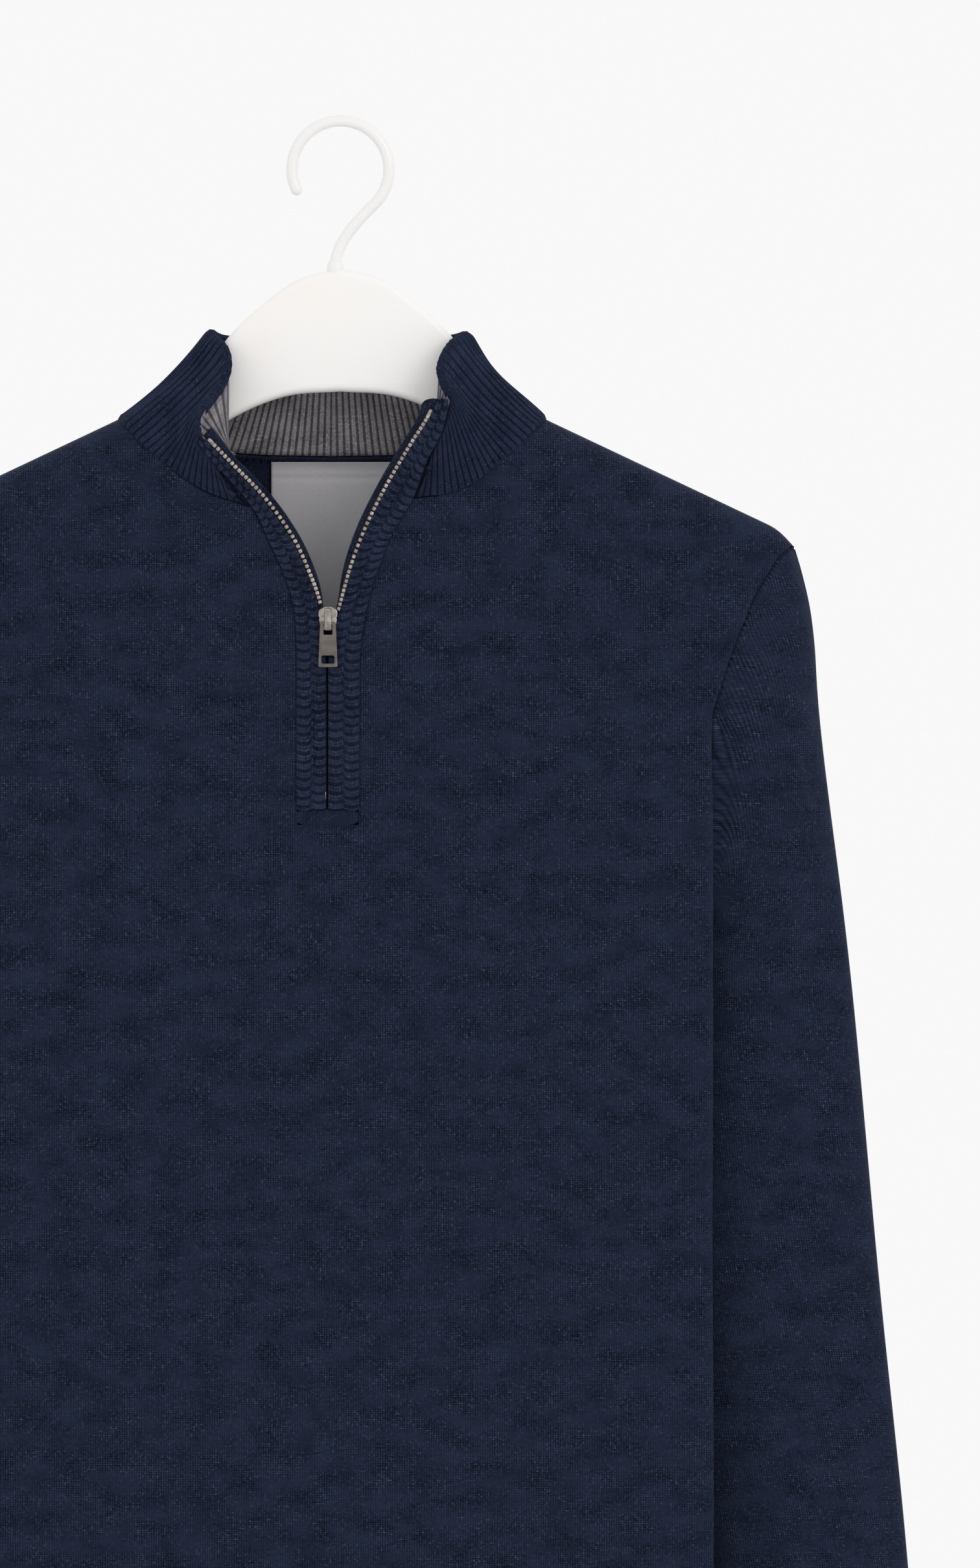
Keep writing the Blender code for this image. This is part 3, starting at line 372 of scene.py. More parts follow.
def satin(name, colour, thread):
    make = Finish(name)
    place, across, rise = make.flat_place()
    weave = make.add(make.wave(rise, thread), make.times(make.wave(across, thread * 4.0), 0.35))
    uneven = make.remap(make.noise(place, 700.0, 3.0, (0.6, 1.6, 1.0)), 0.3, 0.7)
    return make.surface({
        "Base Color": make.blend(uneven, [value * 0.92 for value in colour], colour),
        "Normal": make.bump(0.3, 0.0001, weave),
        "Roughness": 0.42,
        "Anisotropic": 0.5,
        "Sheen Weight": 0.2,
    })


def twill(name, colour, rib):
    make = Finish(name)
    _, across, rise = make.flat_place()
    lines = make.wave(make.add(across, rise), rib)
    tone = make.remap(lines, -1.0, 1.0, 0.6, 1.5)
    return make.surface({
        "Base Color": make.put("VectorMath", {0: colour, 1: tone}, operation="MULTIPLY"),
        "Normal": make.bump(0.4, 0.0001, lines),
        "Roughness": 0.85,
    })


def moulded(name, colour, roughness):
    make = Finish(name)
    place = make.own_place()
    peel, slow = make.noise(place, 500.0), make.noise(place, 18.0)
    warm = (colour[0], colour[1] * 0.985, colour[2] * 0.965)
    return make.surface({
        "Base Color": make.blend(make.remap(slow, 0.4, 0.62), colour, warm),
        "Roughness": make.remap(slow, 0.3, 0.7, roughness * 0.9, roughness * 1.15),
        "Normal": make.bump(0.08, 0.0002, peel),
        "Subsurface Weight": 0.05,
        "Subsurface Radius": (0.004, 0.004, 0.004),
    })


def speckled(name, first, second, roughness, size, low, high, stretch=(1.0, 1.0, 1.0)):
    """A plain matt finish in two close tones."""
    make = Finish(name)
    specks = make.remap(make.noise(make.own_place(), size, 2.0, stretch), low, high)
    return make.surface({"Base Color": make.blend(specks, first, second), "Roughness": roughness})


nickel = metal("zip_nickel", (0.46, 0.415, 0.38), 0.33, 0.5)
gunmetal = metal("tab_gunmetal", (0.175, 0.155, 0.143), 0.40, 0.8)
silver_satin = satin("label_satin", (0.54, 0.525, 0.555), 0.00022)
zip_cloth = twill("zip_tape_cloth", (0.0045, 0.0045, 0.006), 0.0007)
plastic = moulded("hanger_plastic", (0.90, 0.885, 0.875), 0.34)
coated_wire = moulded("hook_coating", (0.86, 0.855, 0.85), 0.26)
THREAD_DARK, THREAD_LIGHT = (0.09, 0.085, 0.10), (0.20, 0.195, 0.21)
thread_grey = speckled("label_thread", THREAD_DARK, THREAD_LIGHT, 0.6, 2500.0, 0.35, 0.65, (0.4, 1.0, 2.0))
floor_paint = speckled("floor_paint", (0.91,) * 3, (0.93,) * 3, 0.95, 120.0, 0.4, 0.6)
print("materials so far:", len(bpy.data.materials))

# %% [markdown]
# ## From a flat grid to hanging cloth
#
# One function makes every cloth piece. It takes a flat grid, moves each point to the place where
# the cloth hangs there, lifts it along the surface's own normal by the relief of the knit, and
# writes the flat place in metres as the UV. A tube, such as a sleeve, has its two edges welded
# after the UVs are written, so that the pattern doesn't stretch across the join. A solidify
# modifier then gives the sheet the thickness of the cloth, inwards.

# %% The cloth maker
STEP = 0.0015


def linked(name, data, *finish):
    """A new object for the data, in the scene."""
    for one in finish:
        data.materials.append(one)
    made = bpy.data.objects.new(name, data)
    bpy.context.scene.collection.objects.link(made)
    return made


def unit(vectors):
    return vectors / np.maximum(np.linalg.norm(vectors, axis=-1, keepdims=True), 1e-9)


def surface_normal(form, u, v, around=False):
    """The side from which u runs to the right and v up."""
    left, right = u - STEP, u + STEP
    if around:
        left, right = left % 1.0, right % 1.0
    else:
        left, right = np.clip(left, 0.0, 1.0), np.clip(right, 0.0, 1.0)
    low, high = np.clip(v - STEP, 0.0, 1.0), np.clip(v + STEP, 0.0, 1.0)
    return unit(np.cross(form(right, v) - form(left, v), form(u, high) - form(u, low)))


def cloth(name, cells, form, flat, finish, relief=None, around=False, hole=None, thick=1.6):
    """A thin sheet on its form. flat(u, v) is the point's place on the flat piece, in millimetres."""
    mesh = bmesh.new()
    bmesh.ops.create_grid(mesh, x_segments=cells[0], y_segments=cells[1], size=0.5)
    if hole:
        middles = [(face, face.calc_center_median()) for face in mesh.faces]
        gone = [face for face, middle in middles if hole(middle.x + 0.5, middle.y + 0.5)]
        bmesh.ops.delete(mesh, geom=gone, context="FACES")
    layer = mesh.loops.layers.uv.new("cloth")
    for face in mesh.faces:
        for loop in face.loops:
            loop[layer].uv = (loop.vert.co.x + 0.5, loop.vert.co.y + 0.5)
    if around:
        starts = {round(vert.co.y, 5): vert for vert in mesh.verts if vert.co.x < -0.4999}
        ends = [vert for vert in mesh.verts if vert.co.x > 0.4999]
        bmesh.ops.weld_verts(mesh, targetmap={vert: starts[round(vert.co.y, 5)] for vert in ends})
    data = bpy.data.meshes.new(name)
    mesh.to_mesh(data)
    mesh.free()

    places = np.empty(len(data.vertices) * 3, np.float32)
    data.vertices.foreach_get("co", places)
    u, v = places.reshape(-1, 3)[:, :2].T.astype(float) + 0.5
    points = form(u, v)
    if relief:
        points = points + surface_normal(form, u, v, around) * relief(u, v, points)[:, None]
    data.vertices.foreach_set("co", in_frame(points).astype(np.float32).ravel())

    marks = np.empty(len(data.loops) * 2, np.float32)
    uv = data.uv_layers["cloth"].data
    uv.foreach_get("uv", marks)
    marks = np.stack(flat(*marks.reshape(-1, 2).T.astype(float)), axis=-1) * MM
    uv.foreach_set("uv", marks.astype(np.float32).ravel())
    data.polygons.foreach_set("use_smooth", [True] * len(data.polygons))
    data.update()
    made = linked(name, data, finish)
    wall = made.modifiers.new("cloth", "SOLIDIFY")
    wall.thickness, wall.offset = thick * MM, -1.0
    return made


def stands_for(piece, nodes, body="sweater"):
    """Hangs the piece on its body and hides the CAD nodes it replaces."""
    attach(piece, body)
    if nodes:
        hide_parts(*nodes)
    return piece


def area_of(piece):
    """One side of a sheet, in square metres."""
    return sum(face.area for face in piece.data.polygons)


print("the cloth maker is ready")

# %% [markdown]
# ## How the body hangs
#
# Two flat panels joined at the sides hang from the shoulder ridge. Just below the ridge the cloth
# rolls over the hanger's arms. Lower down it falls straight, and the sides turn back round a small
# fold. The back hangs a little further behind and falls in five soft folds, because a hanger's
# arms hold the shoulders and leave the middle slack.

# %% The hanging body
NECK_HALF, NECK_RISE = 109.0, 3.3
TIP_HALF, TIP_DROP, TIP_ROUND = 237.0, -62.0, 4.8
HEM_TOP, HEM_END = -640.0, -700.0
FOLD_START, FOLD_RADIUS = 190.0, 6.0
SIDE_SEAM, SIDE_SEAM_X = 221.0, 177.9
HALF_GAP = 0.15
ARM_DROP, ARM_HALF, SLACK_DROP = 12.0, 14.0, 75.0
FRONT_DEPTH, FRONT_HANG, HANG_DROP, SIDE_CROWN, RIPPLE = 25.0, 5.0, 260.0, 3.0, 1.1
BACK_DEPTH, BACK_HANG, BACK_FOLD, FOLD_COUNT, FOLDS_HALF = 20.0, 33.0, 4.5, 5, 134.0
ARMHOLE_FRONT = (
    # z, x
    (-62.0, 237.0), (-68.0, 230.0), (-75.0, 225.5), (-89.0, 217.0), (-98.0, 213.5), (-117.0, 206.0),
    (-140.0, 199.5), (-165.0, 200.0), (-200.0, 206.0), (-240.0, 214.0), (-270.0, 221.0),
)
ARMHOLE_BACK = (
    # z, x
    (-62.0, 237.0), (-80.0, 219.0), (-110.0, 200.0), (-150.0, 187.0), (-200.0, 179.5), (-270.0, 177.9),
)


def shoulder_z(x):
    """Straight from the neck, and rounded down at the shoulder's tip."""
    slope = (TIP_DROP + TIP_ROUND - NECK_RISE) / (TIP_HALF - NECK_HALF)
    rounded_off = TIP_ROUND * (np.maximum(x - TIP_HALF + 12.0, 0.0) / 12.0) ** 2
    return NECK_RISE + slope * (x - NECK_HALF) - rounded_off


print("shoulder at half its length:", round(float(shoulder_z((NECK_HALF + TIP_HALF) / 2.0)), 1))


# %% How front and back hang
def fall(x, z, depth):
    """How far the cloth stands off the ridge's plane, and how far below the ridge it is."""
    drop = np.maximum(shoulder_z(np.abs(x)) - z, 0.0)
    turn = 1.0 - np.minimum(drop / ARM_DROP, 1.0)
    over_arm = HALF_GAP + ARM_HALF * np.sqrt(1.0 - turn * turn)
    return over_arm + depth * (1.0 - np.exp(-drop / SLACK_DROP)), drop


def front_y(x, z):
    rolled, drop = fall(x, z, FRONT_DEPTH)
    hang = FRONT_HANG * smooth(drop, 0.0, HANG_DROP)
    crown = SIDE_CROWN * (np.abs(x) / FOLD_START) ** 2 * smooth(-z, 80.0, HANG_DROP)
    ripple = RIPPLE * np.sin(x / 31.0 + z / 240.0) * np.sin(x / 57.0 + 0.7)
    return -rolled - hang + crown + ripple * smooth(-z, 150.0, 420.0)


def back_y(x, z):
    upper = fall(x, z, BACK_DEPTH)[0]
    folds = BACK_FOLD * np.cos(math.pi * FOLD_COUNT * x / FOLDS_HALF + 0.4 * np.sin(z / 170.0))
    middle = BACK_HANG + folds * smooth(-z, 190.0, 420.0)
    wing = front_y(np.minimum(np.abs(x), FOLD_START), z) + 2.0 * FOLD_RADIUS
    lower = mix(middle, wing, smooth(np.abs(x), 92.0, FOLDS_HALF))
    return mix(upper, lower, smooth(-z, 110.0, 262.0))


def front_point(across, z):
    side = np.where(across >= 0.0, 1.0, -1.0)
    flat, turn_at = np.abs(across), FOLD_START + 52.0 * smooth(z, -150.0, -95.0)
    level = front_y(side * np.minimum(flat, turn_at), z)
    turn = np.clip((flat - turn_at) / FOLD_RADIUS, 0.0, math.pi)
    past = np.maximum(flat - turn_at - FOLD_RADIUS * math.pi, 0.0)
    x = np.where(flat <= turn_at, flat, turn_at + FOLD_RADIUS * np.sin(turn) - past)
    return stack(side * x, level + FOLD_RADIUS * (1.0 - np.cos(turn)), z)


def soft_line(x, z, start, end, width):
    """1 along a line on the cloth and 0 away from it, fading out towards the line's ends."""
    run = np.array(end, float) - np.array(start, float)
    long = np.hypot(*run)
    share = ((x - start[0]) * run[0] + (z - start[1]) * run[1]) / long**2
    off = ((x - start[0]) * run[1] - (z - start[1]) * run[0]) / long
    return swell(off, 0.0, width) * smooth(share, -0.15, 0.2) * (1.0 - smooth(share, 0.75, 1.15))


def drags(x, z, lines):
    """The heights of all soft lines together."""
    return sum(height * soft_line(x, z, start, end, width) for start, end, width, height in lines)


print("front depth at the chest:", round(float(front_y(0.0, -200.0)), 1))

# %% [markdown]
# ## The edges the panels share
#
# The neck seam, the shoulders, the armholes and the placket's sewn edge are cutting lines. Each is
# a short table, and every piece that ends on a seam reads the same one, so the pieces meet.

# %% Cutting lines
NECK_RIGHT = (
    # x, z
    (40.7, -38.3), (52.0, -37.2), (61.3, -35.3), (73.7, -29.7), (86.3, -18.7), (96.0, -10.3),
    (104.0, -2.0), (109.0, 3.3),
)
NECK_LEFT = (
    # x, z
    (40.0, -43.3), (50.7, -40.0), (65.3, -34.7), (76.7, -27.3), (84.0, -21.7), (93.0, -14.3),
    (100.3, -6.3), (109.0, 3.3),
)
NECK_BACK = ((0.0, -20.3), (50.0, -18.5), (80.0, -13.0), (98.0, -5.0), (109.0, 3.3))
STRIP_RIGHT = (
    # zip_x, zip_z, sewn_x, sewn_z
    (-2.0, -198.0, 13.3, -198.0), (-2.0, -148.0, 13.3, -148.0), (-1.3, -115.0, 14.0, -115.0),
    (5.0, -92.0, 18.3, -90.0), (11.0, -71.0, 25.0, -69.0), (19.0, -50.7, 31.0, -55.0),
    (29.0, -31.0, 40.7, -38.3), (41.0, -10.7, 48.5, -18.5), (49.3, 2.3, 56.0, -4.0),
    (53.3, 11.0, 60.0, 11.0),
)
STRIP_LEFT = (
    # zip_x, zip_z, sewn_x, sewn_z, with x counted to the left
    (2.7, -198.0, 17.3, -198.0), (2.7, -148.0, 17.3, -148.0), (3.3, -115.0, 17.3, -115.0),
    (7.3, -92.0, 19.0, -93.3), (13.3, -75.0, 24.7, -75.0), (21.3, -58.3, 31.3, -61.0),
    (35.7, -38.3, 40.0, -43.3), (50.7, -22.7, 54.0, -26.7), (65.3, -7.7, 68.0, -11.7),
)
STRIP_END, SLOT_END = -198.0, -206.0


def strips(side):
    return STRIP_RIGHT if side > 0 else STRIP_LEFT


def by_side(side, reader):
    """Reads a rule for the right and for the left, and keeps each point's own."""
    return np.where(side > 0, reader(1), reader(-1))


def sewn_edge(side, z):
    return by_side(side, lambda hand: follow(strips(hand)[:7], 2, z, key=3))


def neck_z(side, x):
    return by_side(side, lambda hand: follow(NECK_RIGHT if hand > 0 else NECK_LEFT, 1, x))


print("placket's sewn edge at z = -150:", sewn_edge(np.array([1, -1]), np.array([-150.0, -150.0])))

# %% [markdown]
# ## The front panel
#
# The front is one knitted piece with a slot for the placket. The grid's middle columns stop at the
# slot's end, and its outer columns close up round the side fold. The relief here is what makes it
# cloth and not a board: a wide, shallow unevenness from how it was pressed, a few soft lines
# running down from the placket and the shoulders, and a raised line where a seam lies under it.

# %% The front's flat piece
NECK_CELLS, SIDE_CELLS, SLOT_CELLS = 6, 6, 2
FOLD_SHARES = (0.0, 6.3, 12.6, 18.8, 31.0)
FRONT_COLUMNS = 2 * (NECK_CELLS + SIDE_CELLS + len(FOLD_SHARES) - 1) + SLOT_CELLS
FRONT_ROWS, SLOT_ROWS = 18, 7
COLUMN_CELLS, ROW_CELLS = 5, 10
SLOT_LEFT, SLOT_RIGHT = 17.6, 13.6
BELOW_SLOT = -1e-3


def front_share(cell):
    start = STRIP_LEFT[6][2]
    at_neck, at_fold = (NECK_HALF - start) / (TIP_HALF - start), FOLD_START / SIDE_SEAM
    stops = [at_fold + value / SIDE_SEAM for value in FOLD_SHARES]
    edges = [0, NECK_CELLS, *[NECK_CELLS + SIDE_CELLS + n for n in range(5)]]
    return np.interp(cell, edges, [0.0, at_neck, at_fold, *stops[1:]])


def on_ridge(top_across, z, top, top_x, down):
    """The height, once a panel's top row has been put exactly on the shoulder's ridge."""
    beside_neck = smooth(top_x, NECK_HALF - 2.0, NECK_HALF + 6.0)
    return z + (shoulder_z(top_across) - top) * np.clip(1.0 - down, 0.0, 1.0) * beside_neck


def front_flat(u, v):
    """Across and height on the flat piece."""
    column, row = u * FRONT_COLUMNS - FRONT_COLUMNS / 2.0, (1.0 - v) * FRONT_ROWS
    side = np.where(column >= 0.0, 1.0, -1.0)
    cell = np.abs(column) - SLOT_CELLS / 2.0
    slot = np.where(side > 0, SLOT_RIGHT, SLOT_LEFT)
    share = front_share(np.maximum(cell, 0.0))
    top_x = mix(np.where(side > 0, STRIP_RIGHT[6][2], STRIP_LEFT[6][2]), TIP_HALF, share)
    top = np.where(top_x < NECK_HALF, neck_z(side, top_x), shoulder_z(top_x))
    down = np.clip(row / SLOT_ROWS, 0.0, 1.0)
    below = np.maximum(row - SLOT_ROWS, 0.0) / (FRONT_ROWS - SLOT_ROWS)
    upper = mix(top, SLOT_END, down * (0.35 + 0.65 * down))
    lower = mix(SLOT_END, HEM_TOP + HALF_GAP, below)
    z = np.where((cell < BELOW_SLOT) | (row > SLOT_ROWS), lower, upper)
    inner = sewn_edge(side, z) + 0.3
    inner = np.where(z <= STRIP_END, np.maximum(inner, slot), inner)
    across = mix(inner, follow(ARMHOLE_FRONT, 1, z) - HALF_GAP, share)
    across = np.where(cell < BELOW_SLOT, slot * (1.0 + cell / (SLOT_CELLS / 2.0)), across)
    top_across = mix(sewn_edge(side, top) + 0.3, follow(ARMHOLE_FRONT, 1, top) - HALF_GAP, share)
    return side * across, on_ridge(top_across, z, top, top_x, down)


def front_form(u, v):
    return front_point(*front_flat(u, v))


print("the front is cut from", FRONT_COLUMNS, "columns and", FRONT_ROWS, "rows")

# %% The front's creases
FRONT_LINES = (
    # start, end, width, height
    ((26.0, -60.0), (44.0, -190.0), 9.0, -0.55),
    ((-27.0, -66.0), (-46.0, -200.0), 10.0, -0.75),
    ((118.0, -20.0), (150.0, -190.0), 18.0, 0.5),
    ((-122.0, -22.0), (-152.0, -200.0), 17.0, 0.5),
    ((196.0, -112.0), (176.0, -250.0), 12.0, -0.8),
    ((-196.0, -112.0), (-178.0, -240.0), 12.0, -0.7),
    ((4.0, -215.0), (16.0, -420.0), 15.0, -0.7),
    ((-20.0, -214.0), (-34.0, -360.0), 13.0, 0.6),
    ((170.0, -430.0), (166.0, -636.0), 7.0, -0.45),
    ((150.0, -500.0), (152.0, -636.0), 6.0, -0.4),
    ((-168.0, -410.0), (-160.0, -636.0), 8.0, -0.5),
    ((86.0, -300.0), (70.0, -600.0), 24.0, 0.7),
    ((-92.0, -320.0), (-80.0, -610.0), 26.0, 0.7),
)


def hem_seam(z):
    return 0.35 * swell(z, HEM_TOP + 1.5, 1.2)


def front_relief(u, v, points):
    x, z = points[:, 0], points[:, 2]
    lift = drags(x, z, FRONT_LINES)
    lift = lift + 0.35 * np.sin(x / 23.0 + 1.3 * np.sin(z / 61.0)) * np.sin(z / 47.0 + 0.9)
    # The linked seam beside the placket, and the armhole's turned edge.
    off = np.abs(x) - sewn_edge(np.where(x >= 0.0, 1.0, -1.0), z)
    placket = 0.75 * swell(off, 1.6, 1.1) * (z < -36.0) * (z > -203.0)
    hole = follow(ARMHOLE_FRONT, 1, z) - np.abs(x)
    armhole = 0.7 * swell(hole, 2.2, 1.7) * smooth(z, -172.0, -150.0) * (z < -60.0)
    return lift * smooth(-z, 20.0, 70.0) + placket + armhole + hem_seam(z)


print("soft lines on the front:", len(FRONT_LINES))

# %% Make the front
SLOT_HALF = SLOT_CELLS / 2.0 / FRONT_COLUMNS
front_cells = (FRONT_COLUMNS * COLUMN_CELLS, FRONT_ROWS * ROW_CELLS)
front = cloth(
    "front_panel", front_cells, front_form, front_flat, knit_navy, front_relief,
    hole=lambda u, v: abs(u - 0.5) < SLOT_HALF and 1.0 - v < SLOT_ROWS / FRONT_ROWS,
)
stands_for(front, ["front_body"])
print("front, one side in square metres:", round(area_of(front), 4))

# %% [markdown]
# ## The back panel
#
# The back is the same cut without a slot, and its neck is higher. Seen from behind it shows the
# five folds of slack cloth, so more soft lines go into those, and a sag under the shoulder blades.


# %% The back's flat piece
def back_flat(u, v):
    share = 1.0 - 2.0 * u
    at_neck, half = NECK_HALF / TIP_HALF, np.abs(share)
    evened = np.where(half <= 0.5, half / 0.5 * at_neck, mix(at_neck, 1.0, (half - 0.5) / 0.5))
    top_x = evened * TIP_HALF
    top = np.where(top_x < NECK_HALF, follow(NECK_BACK, 1, top_x), shoulder_z(top_x))
    down = 1.0 - v
    z = mix(top, HEM_TOP + HALF_GAP, down * (0.35 + 0.65 * down))
    across = evened * (follow(ARMHOLE_BACK, 1, z) - HALF_GAP)
    top_across = evened * (follow(ARMHOLE_BACK, 1, top) - HALF_GAP)
    return np.copysign(across, share), on_ridge(top_across, z, top, top_x, down)


def back_form(u, v):
    x, z = back_flat(u, v)
    return stack(x, back_y(x, z), z)


print("half of the back at the armhole:", follow(ARMHOLE_BACK, 1, -150.0))

# %% Make the back
BACK_LINES = (
    # start, end, width, height
    ((60.0, -40.0), (30.0, -210.0), 18.0, -0.9),
    ((-66.0, -44.0), (-34.0, -230.0), 16.0, -0.9),
    ((150.0, -60.0), (96.0, -240.0), 12.0, 1.1),
    ((-150.0, -60.0), (-98.0, -230.0), 12.0, 1.1),
    ((12.0, -60.0), (4.0, -250.0), 14.0, 0.8),
    ((40.0, -300.0), (48.0, -620.0), 9.0, 0.9),
    ((-44.0, -280.0), (-38.0, -610.0), 10.0, 0.9),
    ((84.0, -330.0), (92.0, -600.0), 7.0, -0.8),
    ((-88.0, -350.0), (-80.0, -620.0), 8.0, -0.8),
)


def back_relief(u, v, points):
    x, z = points[:, 0], points[:, 2]
    lift = drags(x, z, BACK_LINES)
    lift = lift + 0.4 * np.sin(x / 27.0 + 1.1 * np.sin(z / 52.0)) * np.sin(z / 43.0 + 2.0)
    middle = 1.0 - smooth(np.abs(x), 130.0, 160.0)
    return lift * smooth(-z, 26.0, 80.0) * middle + hem_seam(z)


back = cloth("back_panel", (170, 160), back_form, back_flat, knit_navy, back_relief)
stands_for(back, ["back_body"])
print("back, one side in square metres:", round(area_of(back), 4))

# %% [markdown]
# ## Sleeves
#
# A sleeve is a tube that starts on the slanted armhole and ends in the cuff. Each row of the tube
# is an oval section, and the table says how wide, how deep and how tilted it is at each level. Cloth
# that hangs in a tube buckles: it gets diagonal drags from the armhole, and short creases across
# the elbow's inside, where the sleeve would bend.

# %% The sleeve's sections
SLEEVE = (
    # outer_x, outer_z, inner_x, inner_z, half_depth, centre_y
    (237.0, -62.0, 190.0, -270.0, 26.0, 2.0), (246.0, -96.0, 187.0, -276.0, 27.0, 5.0),
    (251.0, -148.0, 175.0, -292.0, 27.5, 8.0), (263.0, -248.0, 153.0, -332.0, 26.5, 9.0),
    (273.5, -350.0, 154.0, -400.0, 25.0, 8.0), (284.0, -460.0, 170.0, -480.0, 23.0, 7.0),
    (294.0, -560.0, 188.0, -566.0, 21.0, 5.0), (300.0, -628.0, 202.0, -628.0, 19.0, 4.0),
)
CUFF = (301.0, -690.0, 211.0, -690.0, 17.0, 4.0)
UNDERARM = -270.0


def section(angle, row):
    outer_x, outer_z, inner_x, inner_z, half_depth, centre_y = row
    reach, depth = 0.5 + 0.5 * np.cos(angle), np.sin(angle)
    y = centre_y - half_depth * np.sign(depth) * np.abs(depth) ** 0.8
    return stack(mix(inner_x, outer_x, reach), y, mix(inner_z, outer_z, reach))


def armhole(angle):
    share = 0.5 - 0.5 * np.cos(angle)
    z = mix(TIP_DROP, UNDERARM, share)
    ahead = front_point(follow(ARMHOLE_FRONT, 1, z) + 0.9, z)
    x = follow(ARMHOLE_BACK, 1, z) + mix(0.9, 2.6, smooth(share, 0.0, 0.5))
    behind = stack(x, back_y(x, z), z)
    point = np.where((angle <= math.pi)[:, None], ahead, behind)
    point[:, 1] += 2.6 * smooth(share, 0.8, 1.0)
    return point


def ring_angle(side, u):
    return 2.0 * math.pi * own_way(side, u) % (2.0 * math.pi)


def sleeve_form(side, u, v):
    angle = ring_angle(side, u)
    share = v * (0.45 + 0.55 * v)
    point = section(angle, along(SLEEVE, share))
    away = armhole(angle) - section(angle, SLEEVE[0])
    point = point + away * (1.0 - smooth(share, 0.0, 0.34))[:, None]
    # The first millimetres are the seam's allowance: they slip in behind the panels' edges.
    tuck = 1.0 - smooth(share, 0.0, 0.011)
    level = np.clip(np.abs(np.sin(angle)) * 4.0, 0.0, 1.0)
    point[:, 0] -= (2.0 + 0.6 * level) * tuck
    point[:, 1] += 1.9 * tuck * level * np.where(angle <= math.pi, 1.0, -1.0)
    point[:, 2] -= 0.4 * tuck * (1.0 - level) * np.sign(np.cos(angle))
    return point * (side, 1.0, 1.0)


print("the sleeve has", len(SLEEVE), "sections")

# %% The sleeve's creases
SLEEVE_LINES = (
    # across 0..1 round the tube, down 0..1, across, down, width, height
    ((0.20, 0.05), (0.08, 0.42), 0.030, 0.8),
    ((0.14, 0.02), (0.02, 0.30), 0.026, -0.9),
    ((0.32, 0.30), (0.22, 0.62), 0.040, 0.9),
    ((0.45, 0.46), (0.28, 0.58), 0.030, -1.3),
    ((0.47, 0.54), (0.30, 0.63), 0.026, -1.1),
    ((0.40, 0.62), (0.24, 0.92), 0.035, 0.8),
    ((0.12, 0.55), (0.17, 0.97), 0.040, -0.9),
    ((0.70, 0.10), (0.62, 0.50), 0.045, 1.2),
    ((0.84, 0.08), (0.92, 0.45), 0.040, -1.0),
    ((0.55, 0.48), (0.72, 0.60), 0.030, -1.5),
    ((0.56, 0.56), (0.70, 0.66), 0.026, -1.2),
    ((0.80, 0.60), (0.76, 0.98), 0.040, 1.0),
    ((0.64, 0.66), (0.68, 0.98), 0.030, -0.9),
)


def sleeve_relief(side, u, v, points):
    turn = own_way(side, u)
    lift = drags(turn, v, SLEEVE_LINES) + 0.4 * np.sin(turn * 25.1 + 3.0 * v) * np.sin(v * 21.0 + side)
    return lift * smooth(v, 0.0, 0.12) * (1.0 - smooth(v, 0.96, 1.0)) + 0.4 * swell(v, 1.0, 0.003)


print("soft lines on a sleeve:", len(SLEEVE_LINES))

# %% Make the sleeves
TURN_STEPS, ROW_STEPS = 180, 64
FLAT_APART = 700.0


def sleeve_flat(side, form):
    """Round the tube from the middle of its front, and level with the body's own rows of stitches."""
    turns, table = np.linspace(0.0, 1.0, TURN_STEPS + 1), []
    for row in np.linspace(0.0, 1.0, ROW_STEPS + 1):
        ring = form(turns, np.full_like(turns, row))
        steps = np.hypot(*np.diff(ring[:, :2], axis=0).T)
        lengths = np.concatenate([[0.0], np.cumsum(steps)])
        table.append(lengths - np.interp(own_way(side, 0.25), turns, lengths))
    table = np.array(table)

    def flat(u, v):
        row = np.clip(v * ROW_STEPS, 0.0, ROW_STEPS - 0.001)
        turn = np.clip(u * TURN_STEPS, 0.0, TURN_STEPS - 0.001)
        low, left = row.astype(int), turn.astype(int)
        upper, lower = (mix(table[n, left], table[n, left + 1], turn - left) for n in (low, low + 1))
        return FLAT_APART * side + mix(upper, lower, row - low), form(u, v)[:, 2]

    return flat


for side, word in HANDS:
    form = partial(sleeve_form, side)
    piece = cloth(
        "sleeve_" + word + "_knit", (108, 190), form, sleeve_flat(side, form), knit_navy,
        partial(sleeve_relief, side), around=True, thick=1.3,
    )
    stands_for(piece, ["sleeve_" + word])
    print(piece.name, "in square metres:", round(area_of(piece), 4))

# %% [markdown]
# ## Rib: hem and cuffs
#
# Rib knit is a row of rounded columns with narrow valleys between them, because its face and
# back stitches pull against each other. It draws in, so hem and cuffs are a little narrower than
# the cloth above. The relief is a rounded column: the square root of a sine has a wide crest and a
# sharp valley. Every column also has its own small sideways wander.

# %% Make the hem and the cuffs
HEM_RIBS, CUFF_RIBS, RIB_HIGH, RIB_THICK = 210, 58, 0.95, 1.8
SLEEVE_LONG = 566.0


def rib_profile(phase, sharp=0.55):
    """0 in the valleys and about 1 on the crests, which carry two wales each."""
    rise = np.abs(np.sin(math.pi * phase))
    return rise**sharp * (1.0 - 0.16 * rise**6)


def hem_form(u, v):
    z = mix(HEM_TOP + 0.8, HEM_END, v) - HALF_GAP
    ahead = front_point(mix(SIDE_SEAM, -SIDE_SEAM, np.clip(u / 0.5, 0.0, 1.0)), z)
    x = mix(-SIDE_SEAM_X, SIDE_SEAM_X, np.clip((u - 0.5) / 0.5, 0.0, 1.0))
    point = np.where((u <= 0.5)[:, None], ahead, stack(x, back_y(x, z), z))
    pull = mix(1.0, 0.975, np.sin(0.5 * math.pi * v))[:, None]
    return point * np.concatenate([pull, pull, np.ones_like(pull)], axis=1)


